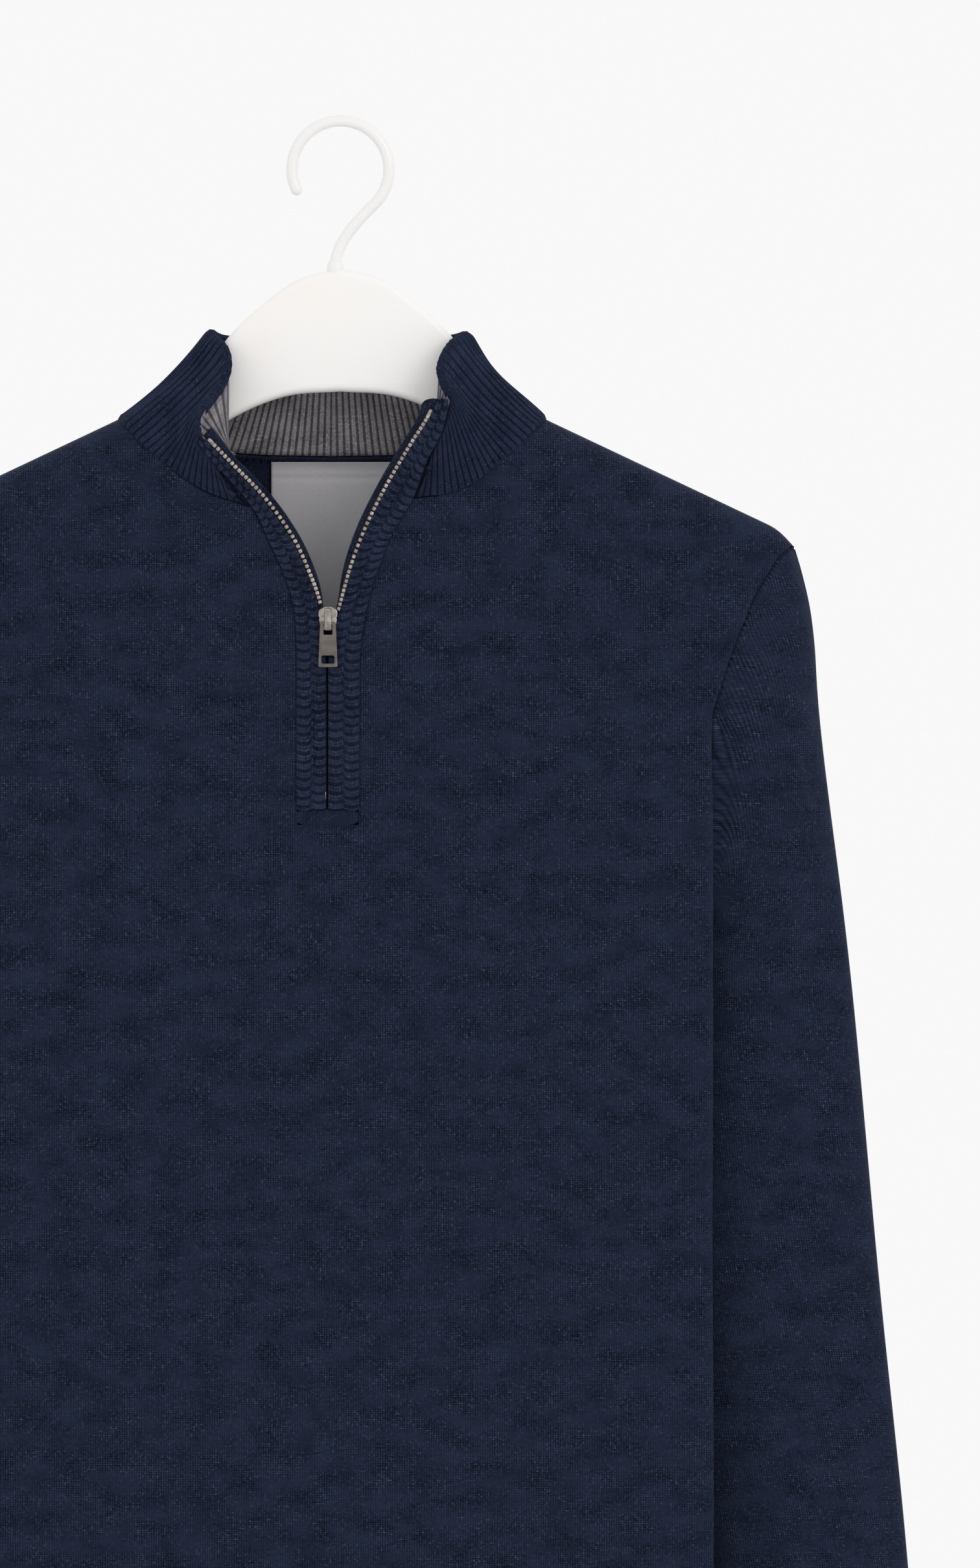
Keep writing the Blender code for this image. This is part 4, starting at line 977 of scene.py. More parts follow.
def rib_relief(count, seed, u, v, points):
    wander = 0.10 * np.sin(5.0 * v + seed) + 0.05 * np.sin(11.0 * v + 40.0 * u)
    ends = smooth(v, 0.0, 0.05) * (1.0 - 0.8 * smooth(v, 0.95, 1.0))
    lap = 0.45 * (1.0 - smooth(v, 0.0, 0.04))
    uneven = 1.0 + 0.12 * np.sin(37.0 * u + 7.0 * v + seed)
    return RIB_HIGH * rib_profile(count * u + wander * ends) * uneven * (0.25 + 0.75 * ends) + lap


hem = cloth(
    "hem_rib_knit", (HEM_RIBS * 5, 10), hem_form, lambda u, v: (u * HEM_RIBS * RIB_UV, HEM_TOP - v * 60.0),
    rib_navy, partial(rib_relief, HEM_RIBS, 0.4), around=True, thick=RIB_THICK,
)
stands_for(hem, ["hem_rib"])


def cuff_form(side, u, v):
    # It laps 0.6 mm over the sleeve's end.
    laps = (0.0, 0.6, 0.0, 0.6, 0.0, 0.0)
    row = [mix(start + lap, end, v) for start, lap, end in zip(SLEEVE[-1], laps, CUFF)]
    return section(ring_angle(side, u), row) * (side, 1.0, 1.0)


def cuff_flat(side, u, v):
    return side * FLAT_APART + u * CUFF_RIBS * RIB_UV, -SLEEVE_LONG - v * 62.0


cuffs = []
for side, word in HANDS:
    piece = cloth(
        "cuff_" + word + "_knit", (CUFF_RIBS * 6, 12), partial(cuff_form, side), partial(cuff_flat, side),
        rib_navy, partial(rib_relief, CUFF_RIBS, float(side)), around=True, thick=RIB_THICK,
    )
    cuffs.append(stands_for(piece, ["cuff_" + word]))
print("hem and cuffs, square metres:", [round(area_of(piece), 4) for piece in (hem, *cuffs)])

# %% [markdown]
# ## The linked seams
#
# Knitted panels aren't sewn but linked: a chain of yarn joins them stitch to stitch, and leaves a
# small round ridge on the inside. Shoulder and side seams have one each.


# %% Places of the linked seams
def shoulder_line(side):
    x = np.linspace(NECK_HALF - 4.0, TIP_HALF - 6.0, 60)
    return stack(side * x, np.zeros(60), np.minimum(shoulder_z(x), NECK_RISE) - 1.5)


def side_line(side):
    z = np.linspace(-274.0, HEM_TOP + 2.0, 120)
    edge = front_point(side * np.full(120, SIDE_SEAM), z)
    edge[:, 1] += 0.2
    edge[:, 0] += side * 0.3
    return edge


print("shoulder seam in millimetres:", round(float(np.ptp(shoulder_line(1)[:, 0]))), "across")

# %% [markdown]
# ## The collar
#
# The collar is one band of rib, folded over at its top edge: navy outside, grey inside. Where the
# zip is open it stands away from the neck and leans out, more on one side than on the other. Its
# stations run from the placket round to the back. Each says where the band leaves the neck seam
# and where its top edge is.
#
# The ribs have to be evenly spaced along the seam, as they are in the knitting, so we first measure
# the seam's length along u and then space columns and ribs by that.

# %% Collar stations and their true length
COLLAR_RIGHT = (
    # station, seam_x, seam_z, top_x, top_y, top_z
    (0.00, 43.1, -38.3, 48.5, -33.0, -24.5), (0.12, 52.0, -37.2, 53.0, -34.0, -12.5),
    (0.20, 61.3, -35.3, 58.0, -34.5, -3.5), (0.30, 73.7, -29.7, 61.8, -35.0, 7.0),
    (0.36, 80.3, -24.3, 62.3, -35.0, 13.5), (0.42, 86.3, -18.7, 60.4, -33.5, 19.8),
    (0.48, 92.3, -13.7, 57.4, -30.5, 26.0), (0.52, 96.0, -10.3, 56.2, -26.5, 31.5),
    (0.57, 100.2, -6.0, 58.2, -20.0, 38.5), (0.62, 104.0, -2.0, 62.4, -13.0, 44.3),
    (0.72, 109.0, 3.3, 69.5, 0.0, 48.8), (0.82, 94.0, -6.6, 61.0, 17.0, 47.0),
    (0.91, 52.0, -18.0, 35.0, 29.0, 44.5), (1.00, 0.0, -20.3, 0.0, 33.0, 45.5),
)
COLLAR_LEFT = (
    # station, seam_x, seam_z, top_x, top_y, top_z, with x counted to the left
    (0.00, 43.0, -43.3, 50.2, -33.0, -35.5), (0.12, 50.7, -40.0, 56.1, -34.0, -28.2),
    (0.20, 62.0, -36.0, 62.6, -34.5, -19.9), (0.30, 73.0, -30.0, 69.4, -35.0, -12.0),
    (0.36, 78.5, -26.0, 70.0, -35.0, -3.0), (0.42, 84.0, -21.7, 68.8, -35.0, 6.7),
    (0.48, 89.5, -17.3, 63.0, -33.0, 15.5), (0.52, 93.0, -14.3, 57.5, -29.0, 22.5),
    (0.57, 96.7, -10.4, 54.0, -22.0, 31.5), (0.62, 100.3, -6.3, 55.0, -12.0, 41.0),
    (0.72, 109.0, 3.3, 63.0, 0.0, 49.7), (0.82, 94.0, -6.6, 56.0, 17.0, 47.0),
    (0.91, 52.0, -18.0, 33.0, 29.0, 44.5), (1.00, 0.0, -20.3, 0.0, 33.0, 45.5),
)
SHOULDER_STATION = 0.72
FACING_BEHIND = 3.7


def station_of(u):
    """0 at both ends of the band and 1 at the middle of the back."""
    return 1.0 - np.abs(2.0 * u - 1.0)


def collar_read(side, station, column):
    return by_side(side, lambda hand: follow(COLLAR_RIGHT if hand > 0 else COLLAR_LEFT, column, station))


def collar_form(u, v):
    side, station = np.where(u < 0.5, 1.0, -1.0), station_of(u)
    seam_x, seam_z, top_x, top_y, top_z = (collar_read(side, station, n) for n in range(1, 6))
    body_y = [place(side * seam_x, seam_z - 0.3) for place in (front_y, back_y)]
    seam_y = np.where(station <= SHOULDER_STATION, *body_y)
    # Over the shoulder seam the band passes evenly from front to back.
    seam_y = seam_y * np.clip(np.abs(station - SHOULDER_STATION) / 0.04, 0.0, 1.0)
    seam = stack(side * seam_x, seam_y, seam_z + 0.8)
    top = stack(side * top_x, top_y, top_z)
    point = seam + (top - seam) * v[:, None]
    bow = np.sin(math.pi * np.clip(v, 0.0, 1.0)) * smooth(station, 0.3, SHOULDER_STATION)
    point[:, 0] -= side * 4.0 * bow * (1.0 - smooth(station, SHOULDER_STATION, 0.92))
    return point


ALONG_U = np.linspace(0.0, 1.0, 1201)
SEAM_STEPS = np.linalg.norm(np.diff(collar_form(ALONG_U, np.full(1201, 0.03)), axis=0), axis=1)
SEAM_LENGTHS = np.concatenate([[0.0], np.cumsum(SEAM_STEPS)])
SEAM_LONG = float(SEAM_LENGTHS[-1])


def seam_u(share):
    """The u at an even share of the neck seam's length."""
    return np.interp(np.clip(share, 0.0, 1.0) * SEAM_LONG, SEAM_LENGTHS, ALONG_U)


print("neck seam in millimetres:", round(SEAM_LONG, 1))

# %% [markdown]
# ## Rolling the collar's edge
#
# The folded edge is soft, so it makes a roll about five millimetres thick. Above v = 1 the sheet
# leaves its straight rise and goes round a half circle to the inside, then down a little way. The
# grey facing ends under it. The roll has no clear ribs: there they are stretched round the bend
# into fine cross lines.

# %% Roll the collar's edge
ROLL, ROLL_FROM, ROLL_LAP = 2.3, 0.86, 2.2
COLLAR_RIBS = round(SEAM_LONG / 3.75)


def rolled_collar(share, height):
    u = seam_u(share)
    # The foot laps a little over the panels below the seam.
    straight = np.clip(height / ROLL_FROM, 0.0, 1.0) * 1.024 - 0.024
    long = np.linalg.norm(collar_form(u, np.ones_like(u)) - collar_form(u, np.zeros_like(u)), axis=1)
    station = station_of(u)
    rim = 1.0 - ROLL / long * smooth(station, 0.26, 0.40)
    point = collar_form(u, straight * rim)
    over = np.clip((height - ROLL_FROM) / (1.0 - ROLL_FROM), 0.0, 1.0)
    # Towards the zip the roll ends sooner, because the edge bends sharply there.
    bend = smooth(station, 0.40, 0.52)
    begun = smooth(station, 0.10, 0.26)
    length = over * (0.6 + (math.pi * ROLL * (0.85 + 0.15 * bend) + ROLL_LAP * bend - 0.6) * begun)
    angle = np.clip(length / ROLL, 0.0, math.pi)
    past = np.maximum(length - math.pi * ROLL, 0.0)
    out = surface_normal(collar_form, u, rim)
    rise = unit(collar_form(u, rim) - collar_form(u, rim - 0.05))
    lift = ROLL * np.sin(angle) - past
    back = ROLL * (1.0 - np.cos(angle))
    point = point + rise * lift[:, None] - out * back[:, None]
    # The band's two ends lie behind the placket strips.
    point[:, 1] += 2.6 * (1.0 - smooth(station, 0.05, 0.18))
    return point


print("the roll goes", round(math.pi * ROLL, 1), "mm round")


# %% Make the collar
def collar_flat(share, height):
    return share * COLLAR_RIBS * RIB_UV + 1200.0, height * 70.0


def collar_relief(share, height, points):
    ribs = rib_profile(COLLAR_RIBS * share + 0.05 * np.sin(6.0 * height), 0.6)
    foot = smooth(height, 0.015, 0.06)
    # The linked neck seam is a raised line along the foot.
    seam = 0.9 * swell(height, 0.022, 0.016)
    flat = 1.0 - smooth(height, ROLL_FROM - 0.05, ROLL_FROM + 0.03)
    fine = rib_profile(COLLAR_RIBS * 1.5 * share, 1.0) * (1.0 - flat)
    # Where the open collar is folded back on itself it crumples a little.
    crumple = 0.5 * np.sin(90.0 * share + 9.0 * height) * swell(share, 0.2, 0.05)
    crumple = crumple + 0.5 * np.sin(80.0 * share - 8.0 * height) * swell(share, 0.83, 0.05)
    return 1.05 * ribs * foot * flat + seam + 0.35 * fine + crumple * foot * flat


collar = cloth(
    "collar_rib_knit", (COLLAR_RIBS * 7, 34), rolled_collar, collar_flat, rib_navy, collar_relief,
    thick=1.5,
)
stands_for(collar, ["collar_outer"])
print("collar ribs:", COLLAR_RIBS, "one side in square metres:", round(area_of(collar), 4))

# %% [markdown]
# ## The grey facing
#
# The inside of the collar is the same rib in pale grey yarn. It's a second band just inside the
# first, seen through the open neck, so its ribs are raised towards the inside.


# %% Make the facing
def facing_form(share, height):
    # u runs the other way, which turns the piece's face to the inside.
    u = seam_u(0.03 + 0.94 * (1.0 - share))
    level = mix(0.05, 0.955, height)
    behind = collar_form(u, level) - surface_normal(collar_form, u, level) * FACING_BEHIND
    # Near the zip the facing has its own foot, further in, and its ribs fan up from there to the
    # outer band's rolled edge. That's why a wedge of it shows beside the zip.
    side, station = np.where(u < 0.5, 1.0, -1.0), station_of(u)
    back = station / 0.57
    foot = stack(side * (48.0 + 6.0 * back), -30.0 + 15.0 * back, -15.5 + 2.0 * back)
    rim = np.full_like(u, 0.955)
    top = collar_form(u, rim) - surface_normal(collar_form, u, rim) * 3.0
    fanned = foot + (top - foot) * height[:, None]
    return behind + (fanned - behind) * (1.0 - smooth(station, 0.57, 0.72))[:, None]


def facing_relief(share, height, points):
    ribs = rib_profile(0.94 * COLLAR_RIBS * share + 0.04 * np.sin(7.0 * height), 0.6)
    return 0.9 * ribs * smooth(height, 0.02, 0.07) + 0.8 * swell(height, 0.02, 0.02)


def facing_flat(share, height):
    return 0.94 * COLLAR_RIBS * share * RIB_UV + 2400.0, height * 62.0


facing = cloth(
    "collar_facing_knit", (700, 22), facing_form, facing_flat, rib_grey, facing_relief, thick=1.2
)
stands_for(facing, ["collar_facing"])
print("facing, one side in square metres:", round(area_of(facing), 4))

# %% [markdown]
# ## Cords and tubes
#
# Round things that follow a line, such as the cord over the neck seam or the hook's wire, are a
# ring of points carried along that line. Each ring faces along the line, and a steady side
# direction keeps the tube from twisting.


# %% A tube along points
NOSE = (0.0, 0.5, 0.87)


def tube(name, points, radius, sides, finish, relief=lambda length, angle: 0.0):
    """A closed tube in garment millimetres, with a rounded nose at each end."""
    points = np.asarray(points, float)
    runs = unit(np.gradient(points, axis=0))
    side = unit(np.cross(runs, (0.0, 1.0, 0.0) if abs(runs[0, 1]) < 0.9 else (1.0, 0.0, 0.0)))
    other = np.cross(runs, side)
    lengths = np.concatenate([[0.0], np.cumsum(np.linalg.norm(np.diff(points, axis=0), axis=1))])
    rings = [(0, size, -1.0) for size in NOSE] + [(n, 1.0, 0.0) for n in range(len(points))]
    rings += [(-1, size, 1.0) for size in reversed(NOSE)]
    mesh = bmesh.new()
    layer = mesh.loops.layers.uv.new("cloth")
    rows, marks = [], []
    for part, size, way in rings:
        nose = radius * math.sqrt(1.0 - size**2) * way
        centre = points[part] + runs[part] * nose
        ring = []
        for turn in range(sides):
            angle = 2.0 * math.pi * turn / sides
            wide = radius * max(size, 0.02) * (1.0 + relief(lengths[part], angle))
            spot = centre + (side[part] * math.cos(angle) + other[part] * math.sin(angle)) * wide
            ring.append(mesh.verts.new(in_frame(spot)))
        rows.append(ring)
        marks.append((lengths[part] + nose) * MM)
    for low in range(len(rows) - 1):
        for turn in range(sides):
            after = (turn + 1) % sides
            corners = rows[low][turn], rows[low][after], rows[low + 1][after], rows[low + 1][turn]
            face = mesh.faces.new(corners)
            face.smooth = True
            spots = ((turn, low), (turn + 1, low), (turn + 1, low + 1), (turn, low + 1))
            for loop, (step, row) in zip(face.loops, spots):
                loop[layer].uv = (step / sides * 2.0 * math.pi * radius * MM, marks[row])
    mesh.faces.new(rows[0])
    mesh.faces.new(reversed(rows[-1]))
    bmesh.ops.recalc_face_normals(mesh, faces=mesh.faces)
    data = bpy.data.meshes.new(name)
    mesh.to_mesh(data)
    mesh.free()
    return linked(name, data, finish)


print("a tube's nose has", len(NOSE), "rings")

# %% Make the neck cord and the linked seams
CORD_DEEP, CORD_RADIUS, BRAID_TURN = 8.1, 1.0, 3.6
SEAM_RADIUS = 0.8
CORD_SHARES = np.linspace(0.19, 0.81, 240)
cord_height = np.full(240, 0.018)
cord_line = collar_form(CORD_SHARES, cord_height)
cord_line = cord_line - surface_normal(collar_form, CORD_SHARES, cord_height) * CORD_DEEP


def braid(length, angle):
    """Two strands wound round each other."""
    return 0.12 * math.cos(2.0 * (angle - 2.0 * math.pi * length / BRAID_TURN))


for side, word in HANDS:
    for place, line in (("shoulder", shoulder_line(side)), ("side", side_line(side))):
        seam = tube(place + "_seam_" + word, line, SEAM_RADIUS, 8, cord_navy)
        stands_for(seam, [])

neck_cord = tube("neck_cord_braid", cord_line, CORD_RADIUS, 12, cord_navy, braid)
stands_for(neck_cord, ["neck_cord"])
smooth_steps = np.linalg.norm(np.diff(cord_line[::10], axis=0), axis=1)
print("neck cord length:", round(float(smooth_steps.sum())), "mm")

# %% [markdown]
# ## The placket
#
# Beside the zip lies a narrow strip of rib on each side, knitted sideways, so its ribs run across.
# It's stitched down along its middle, and that line sinks, which divides it into two columns of
# short rounded bars. Its outer edge is linked to the front.

# %% Along a placket strip
PROUD, BAR_PITCH, STRIP_WIDE = 0.6, 4.67, 15.3


def strip_y(side, x, z):
    def one(hand):
        seam = strips(hand)[6]
        start = front_y(hand * seam[2], seam[3])
        above = mix(start, -35.0, np.clip((z - seam[3]) / 40.0, 0.0, 1.0))
        return np.where(z <= seam[3], front_y(hand * x, z), above)

    return by_side(side, one)


def strip_lengths(side):
    shares = np.linspace(0.0, 1.0, 801)
    zip_x, zip_z, sewn_x, sewn_z = along(strips(side), shares)
    steps = np.hypot(np.diff(zip_x + sewn_x), np.diff(zip_z + sewn_z)) / 2.0
    return shares, np.concatenate([[0.0], np.cumsum(steps)])


def strip_share(side, even):
    shares, lengths = strip_lengths(side)
    return np.interp(even * lengths[-1], lengths, shares)


def strip_spot(side, across, even, reach=0.0, behind=0.0):
    """A point across the strip, in shares of its width.

    reach goes out beyond that towards the zip, and behind goes back, both in millimetres.
    """
    zip_x, zip_z, sewn_x, sewn_z = along(strips(side), strip_share(side, even))
    share = across - reach / np.hypot(sewn_x - zip_x, sewn_z - zip_z)
    x, z = mix(zip_x, sewn_x, share), mix(zip_z, sewn_z, share)
    return stack(side * x, strip_y(side, x, z) - PROUD + behind, z)


def strip_form(side, u, v):
    across = own_way(side, u)
    # The upper end is rounded off, and the sewn edge goes a little way under the front's.
    past = np.clip((v - 0.97) / 0.03, 0.0, 1.0)
    wide = across * (1.0 + 0.07 * across)
    point = strip_spot(side, 0.5 + (wide - 0.5) * np.sqrt(1.0 - 0.72 * past**2), v)
    point[:, 0] += side * past
    point[:, 2] += 1.8 * past
    return point


print("placket strips:", [round(float(strip_lengths(side)[1][-1])) for side, _ in HANDS], "mm")


# %% Make the placket strips
def strip_phase(across, v, bars):
    """The bars of the outer column stand half a bar off those of the inner one."""
    sag = 0.26 * np.abs(np.sin(2.0 * math.pi * across)) + 0.08 * np.sin(61.0 * v) * across
    return bars * v + 0.12 * np.sin(9.0 * v) + sag + np.where(across > 0.5, 0.5, 0.0)


def strip_relief(side, bars, u, v, points):
    across = own_way(side, u)
    bar = rib_profile(strip_phase(across, v, bars), 0.9) * (1.0 + 0.2 * np.sin(53.0 * v + 3.0 * across))
    off = np.abs(across - 0.5)
    # Two columns, sunk at the stitched middle and at both edges.
    column = smooth(off, 0.02, 0.13) * (1.0 - smooth(off, 0.40, 0.5))
    edge = 0.5 * swell(across, 0.02, 0.035) + 0.45 * swell(across, 0.98, 0.03)
    side_fall = 1.0 - smooth(off, 0.47, 0.5)
    return (1.15 * bar * column + edge + 0.25 * column) * side_fall - 0.8 * (1.0 - side_fall)


def strip_flat(side, bars, u, v):
    across = own_way(side, u)
    return side * 3000.0 + strip_phase(across, v, bars) * RIB_UV, across * STRIP_WIDE


for side, word in HANDS:
    long = float(strip_lengths(side)[1][-1])
    bars = round(long / BAR_PITCH)
    piece = cloth(
        "placket_" + word + "_rib", (26, bars * 8), partial(strip_form, side),
        partial(strip_flat, side, bars), rib_placket, partial(strip_relief, side, bars),
    )
    stands_for(piece, ["placket_" + word])
    print(piece.name, "is", round(long), "mm long, with", bars, "bars")

# %% [markdown]
# ## Where the placket ends
#
# Both strips are caught together in a small gathered tuck. It bulges, and the rib in it is pulled
# into fine upright lines.

# %% Make the tuck
TUCK_X, TUCK_Z, TUCK_WIDE, TUCK_HIGH, TUCK_RIBS = -2.4, -201.8, 33.0, 8.4, 21


def tuck_form(u, v):
    x = TUCK_X + (u - 0.5) * TUCK_WIDE
    edge = np.minimum(np.minimum(u, 1.0 - u) * TUCK_WIDE, np.minimum(v, 1.0 - v) * TUCK_HIGH)
    # Its ends taper off.
    high = TUCK_HIGH * (0.35 + 0.65 * np.sqrt(1.0 - np.abs(2.0 * u - 1.0) ** 5))
    z = TUCK_Z + (v - 0.5) * high - 1.2 * np.sin(math.pi * u) * (1.0 - v)
    puff = 1.9 * np.sqrt(np.clip(edge / 2.6, 0.0, 1.0))
    return stack(x, front_y(x, z) + 0.9 - puff, z)


def tuck_phase(u):
    return TUCK_RIBS * u + 0.3 * np.sin(9.0 * u)


def tuck_relief(u, v, points):
    edge = smooth(np.minimum(v, 1.0 - v), 0.0, 0.25)
    return (0.4 * rib_profile(tuck_phase(u), 0.7) + 0.2 * np.sin(23.0 * u)) * edge


def tuck_flat(u, v):
    # Its place up the band is past the collar's roll, where the yarn's ribs are stretched out.
    return tuck_phase(u) * RIB_UV + 3500.0, v * 6.9 + 70.0


tuck = cloth("placket_tuck_rib", (136, 24), tuck_form, tuck_flat, rib_navy, tuck_relief)
stands_for(tuck, ["placket_tuck"])
print("the tuck has", TUCK_RIBS, "upright ribs")

# %% [markdown]
# ## The zip
#
# A zip is two black twill tapes with metal teeth clamped on their facing edges. Above the slider
# they part, and the teeth show as two rows of bright beads along the placket's edges. Below it the
# strips close over them and leave only a dark slit. Behind each tape lies a narrow navy facing.

# %% Make the tapes and their navy facings
TAPE_BEHIND, LINING_BEHIND = 2.9, 4.2
OPEN_REACH, CLOSED_REACH = 2.2, -0.1


def opening(side, even):
    """0 where the zip is closed, 1 where it's open."""
    row = strip_share(side, even) * (len(strips(side)) - 1)
    return smooth(row, 1.8, 3.0)


def beside(side, even, reach, behind):
    """A point that stands out of the strip's zip edge by reach."""
    return strip_spot(side, 0.0, even, reach, behind)


def tape_form(side, u, v):
    even = mix(0.012, 0.978, v)
    reach = mix(mix(CLOSED_REACH, OPEN_REACH, opening(side, even)), -3.0, own_way(side, u))
    return beside(side, even, reach, TAPE_BEHIND)


def lining_form(side, u, v):
    even, across = mix(0.22, 1.0, v), own_way(side, u)
    # At the top it widens and closes over the top stop.
    out = mix(0.4, 4.8, smooth(even, 0.40, 0.62)) + 1.6 * smooth(even, 0.90, 0.99)
    reach = mix(mix(CLOSED_REACH, out, opening(side, even)), -4.5, across)
    point = beside(side, even, reach, LINING_BEHIND - 0.5 * np.sin(math.pi * across))
    point[:, 2] += 2.2 * smooth(v, 0.95, 1.0) * np.sin(math.pi * across) ** 0.5
    return point


def lining_relief(u, v, points):
    return 0.25 * np.abs(np.sin(math.pi * 58.0 * v)) + 0.2 * np.sin(40.0 * v) * u


for side, word in HANDS:
    tape = cloth(
        "zip_tape_" + word + "_cloth", (6, 160), partial(tape_form, side),
        lambda u, v: (u * 6.3, v * 200.0), zip_cloth, thick=0.6,
    )
    stands_for(tape, ["zip_tape_" + word])
    lining = cloth(
        "placket_" + word + "_facing", (16, 200), partial(lining_form, side),
        lambda u, v: (u * 10.0, v * 200.0), knit_navy, lining_relief, thick=0.5,
    )
    stands_for(lining, [])
print("zip tapes lie", TAPE_BEHIND, "mm and their facings", LINING_BEHIND, "mm behind the strips")

# %% [markdown]
# ## Teeth
#
# A metal tooth is a small stamped clip with a rounded head. One tooth is a bevelled block, and the
# chain is copies of it, each turned to the zip's line. The last one at the top is the longer top
# stop.


# %% Blocks and copies
def bevelled_block(size, radius, segments):
    mesh = bmesh.new()
    bmesh.ops.create_cube(mesh, size=1.0)
    bmesh.ops.scale(mesh, vec=size, verts=mesh.verts)
    rounding = {"offset": radius, "segments": segments, "profile": 0.5, "affect": "EDGES", "material": -1}
    bmesh.ops.bevel(mesh, geom=mesh.edges[:], **rounding)
    bmesh.ops.recalc_face_normals(mesh, faces=mesh.faces)
    return mesh


def soften(data, smooth_angle):
    data.shade_smooth()
    data.set_sharp_from_angle(angle=math.radians(smooth_angle))


def as_object(mesh, name, finish, smooth_angle=40.0):
    data = bpy.data.meshes.new(name)
    mesh.to_mesh(data)
    mesh.free()
    made = linked(name, data, finish)
    soften(data, smooth_angle)
    return made


def copies(pattern, places):
    """One mesh made of a pattern repeated at (centre, run, out, size) places, in garment mm."""
    whole = bmesh.new()
    data = bpy.data.meshes.new("copy")
    pattern.to_mesh(data)
    pattern.free()
    for centre, run, out, size in places:
        side = run.cross(out).normalized()
        out = side.cross(run).normalized()
        start = len(whole.verts)
        whole.from_mesh(data)
        whole.verts.ensure_lookup_table()
        for vert in whole.verts[start:]:
            wide, painted_valley_shade, high = (part * times for part, times in zip(vert.co, size))
            vert.co = Vector(in_frame(Vector(centre) + side * wide + out * painted_valley_shade + run * high))
    bpy.data.meshes.remove(data)
    return whole


block = bevelled_block((1.0, 1.0, 1.0), 0.2, 3)
print("a bevelled block has", len(block.faces), "faces")
block.free()

# %% Make the teeth
TOOTH, TOOTH_PITCH, TOOTH_RADIUS, TOOTH_BEHIND = (2.55, 2.7, 2.35), 2.54, 0.78, 1.4
FACING_US, UPRIGHT = Vector((0.0, -1.0, 0.0)), Vector((0.0, 0.0, 1.0))
PLAIN_TOOTH, TOP_STOP, BOTTOM_STOP = (1.0, 1.0, 1.0), (1.0, 1.05, 1.9), (0.4, 0.5, 1.9)
STOP_X, STOP_Z = -3.3, -191.0

for side, word in HANDS:
    long = float(strip_lengths(side)[1][-1])
    start, end, out = (0.475, 0.970, 0.3) if side > 0 else (0.514, 0.988, 1.1)
    count = int((end - start) * long / TOOTH_PITCH)
    spots = []
    for index in range(count + 1):
        even = start + index * TOOTH_PITCH / long
        pair = np.array([even, even + 0.004])
        here, there = beside(side, pair, out * opening(side, pair) + 0.1, TOOTH_BEHIND)
        size = TOP_STOP if index == count else PLAIN_TOOTH
        spots.append((here, Vector(there - here).normalized(), FACING_US, size))
    if side < 0:
        # The bottom stop glints through the slit.
        stop = (STOP_X, float(front_y(STOP_X, STOP_Z)) - 0.4, STOP_Z)
        spots.append((stop, UPRIGHT, FACING_US, BOTTOM_STOP))
    chain = copies(bevelled_block(TOOTH, TOOTH_RADIUS, 3), spots)
    teeth = as_object(chain, "zip_teeth_" + word, nickel, 60.0)
    stands_for(teeth, [])
    print(teeth.name, "has", len(spots), "teeth")

# %% [markdown]
# ## Slider and pull tab
#
# The slider is a die-cast body with a diamond-shaped crown and a tall bridge over it. The pull tab
# hooks round the bridge with its slot, so it can swing, and it ends in a small window. We draw each
# as an outline with its holes, as a stamping die would, and give every edge a rounded border.


# %% Rounded outlines
PLATE_SMOOTH = 50.0


def rounded(corners, radius, steps=4):
    """A closed outline whose corners are rounded off."""
    outline, count = [], len(corners)
    for index, corner in enumerate(corners):
        here = Vector(corner)
        before = Vector(corners[index - 1]) - here
        after = Vector(corners[(index + 1) % count]) - here
        reach = min(radius, before.length * 0.45, after.length * 0.45)
        first, last = here + before.normalized() * reach, here + after.normalized() * reach
        for step in range(steps + 1):
            share = step / steps
            spot = first * (1 - share) ** 2 + here * 2 * share * (1 - share) + last * share**2
            outline.append(tuple(spot))
    return outline


print("a rounded square has", len(rounded([(0, 0), (1, 0), (1, 1), (0, 1)], 0.2)), "points")


# %% Stamped plates
def plate(name, outlines, half, edge, finish, turn, middle=0.0, segments=3):
    """A plate from closed outlines in millimetres; the first is its rim and the others are holes.

    turn says which way it faces: "front" has (x, z) outlines, "side" has (y, z) ones.
    """
    curve = bpy.data.curves.new(name, "CURVE")
    curve.dimensions, curve.fill_mode = "2D", "BOTH"
    curve.extrude, curve.bevel_depth, curve.offset = half - edge, edge, -edge
    curve.bevel_resolution = segments
    for outline in outlines:
        line = curve.splines.new("POLY")
        line.use_cyclic_u = True
        line.points.add(len(outline) - 1)
        for spot, (across, rise) in zip(line.points, outline):
            spot.co = (across, rise, 0.0, 1.0)
    guide = linked(name + "_outline", curve)
    graph = bpy.context.evaluated_depsgraph_get()
    drawn = bpy.data.meshes.new_from_object(guide.evaluated_get(graph))
    mesh = bmesh.new()
    mesh.from_mesh(drawn)
    for vert in mesh.verts:
        across, rise, depth = vert.co
        if turn == "front":
            vert.co = (across, middle - depth, rise)
        else:
            vert.co = (depth + middle, across, rise)
    bmesh.ops.remove_doubles(mesh, verts=mesh.verts, dist=0.003)
    bmesh.ops.recalc_face_normals(mesh, faces=mesh.faces)
    bpy.data.objects.remove(guide, do_unlink=True)
    bpy.data.meshes.remove(drawn)
    for vert in mesh.verts:
        vert.co = Vector(in_frame(vert.co))
    return as_object(mesh, name, finish, PLATE_SMOOTH)


def joined(name, pieces):
    """Several plates of one finish as a single object."""
    whole = bmesh.new()
    for piece in pieces:
        whole.from_mesh(piece.data)
    made = as_object(whole, name, pieces[0].data.materials[0], PLATE_SMOOTH)
    for piece in pieces:
        bpy.data.objects.remove(piece, do_unlink=True)
    return made


print("plates are smooth up to", PLATE_SMOOTH, "degrees")

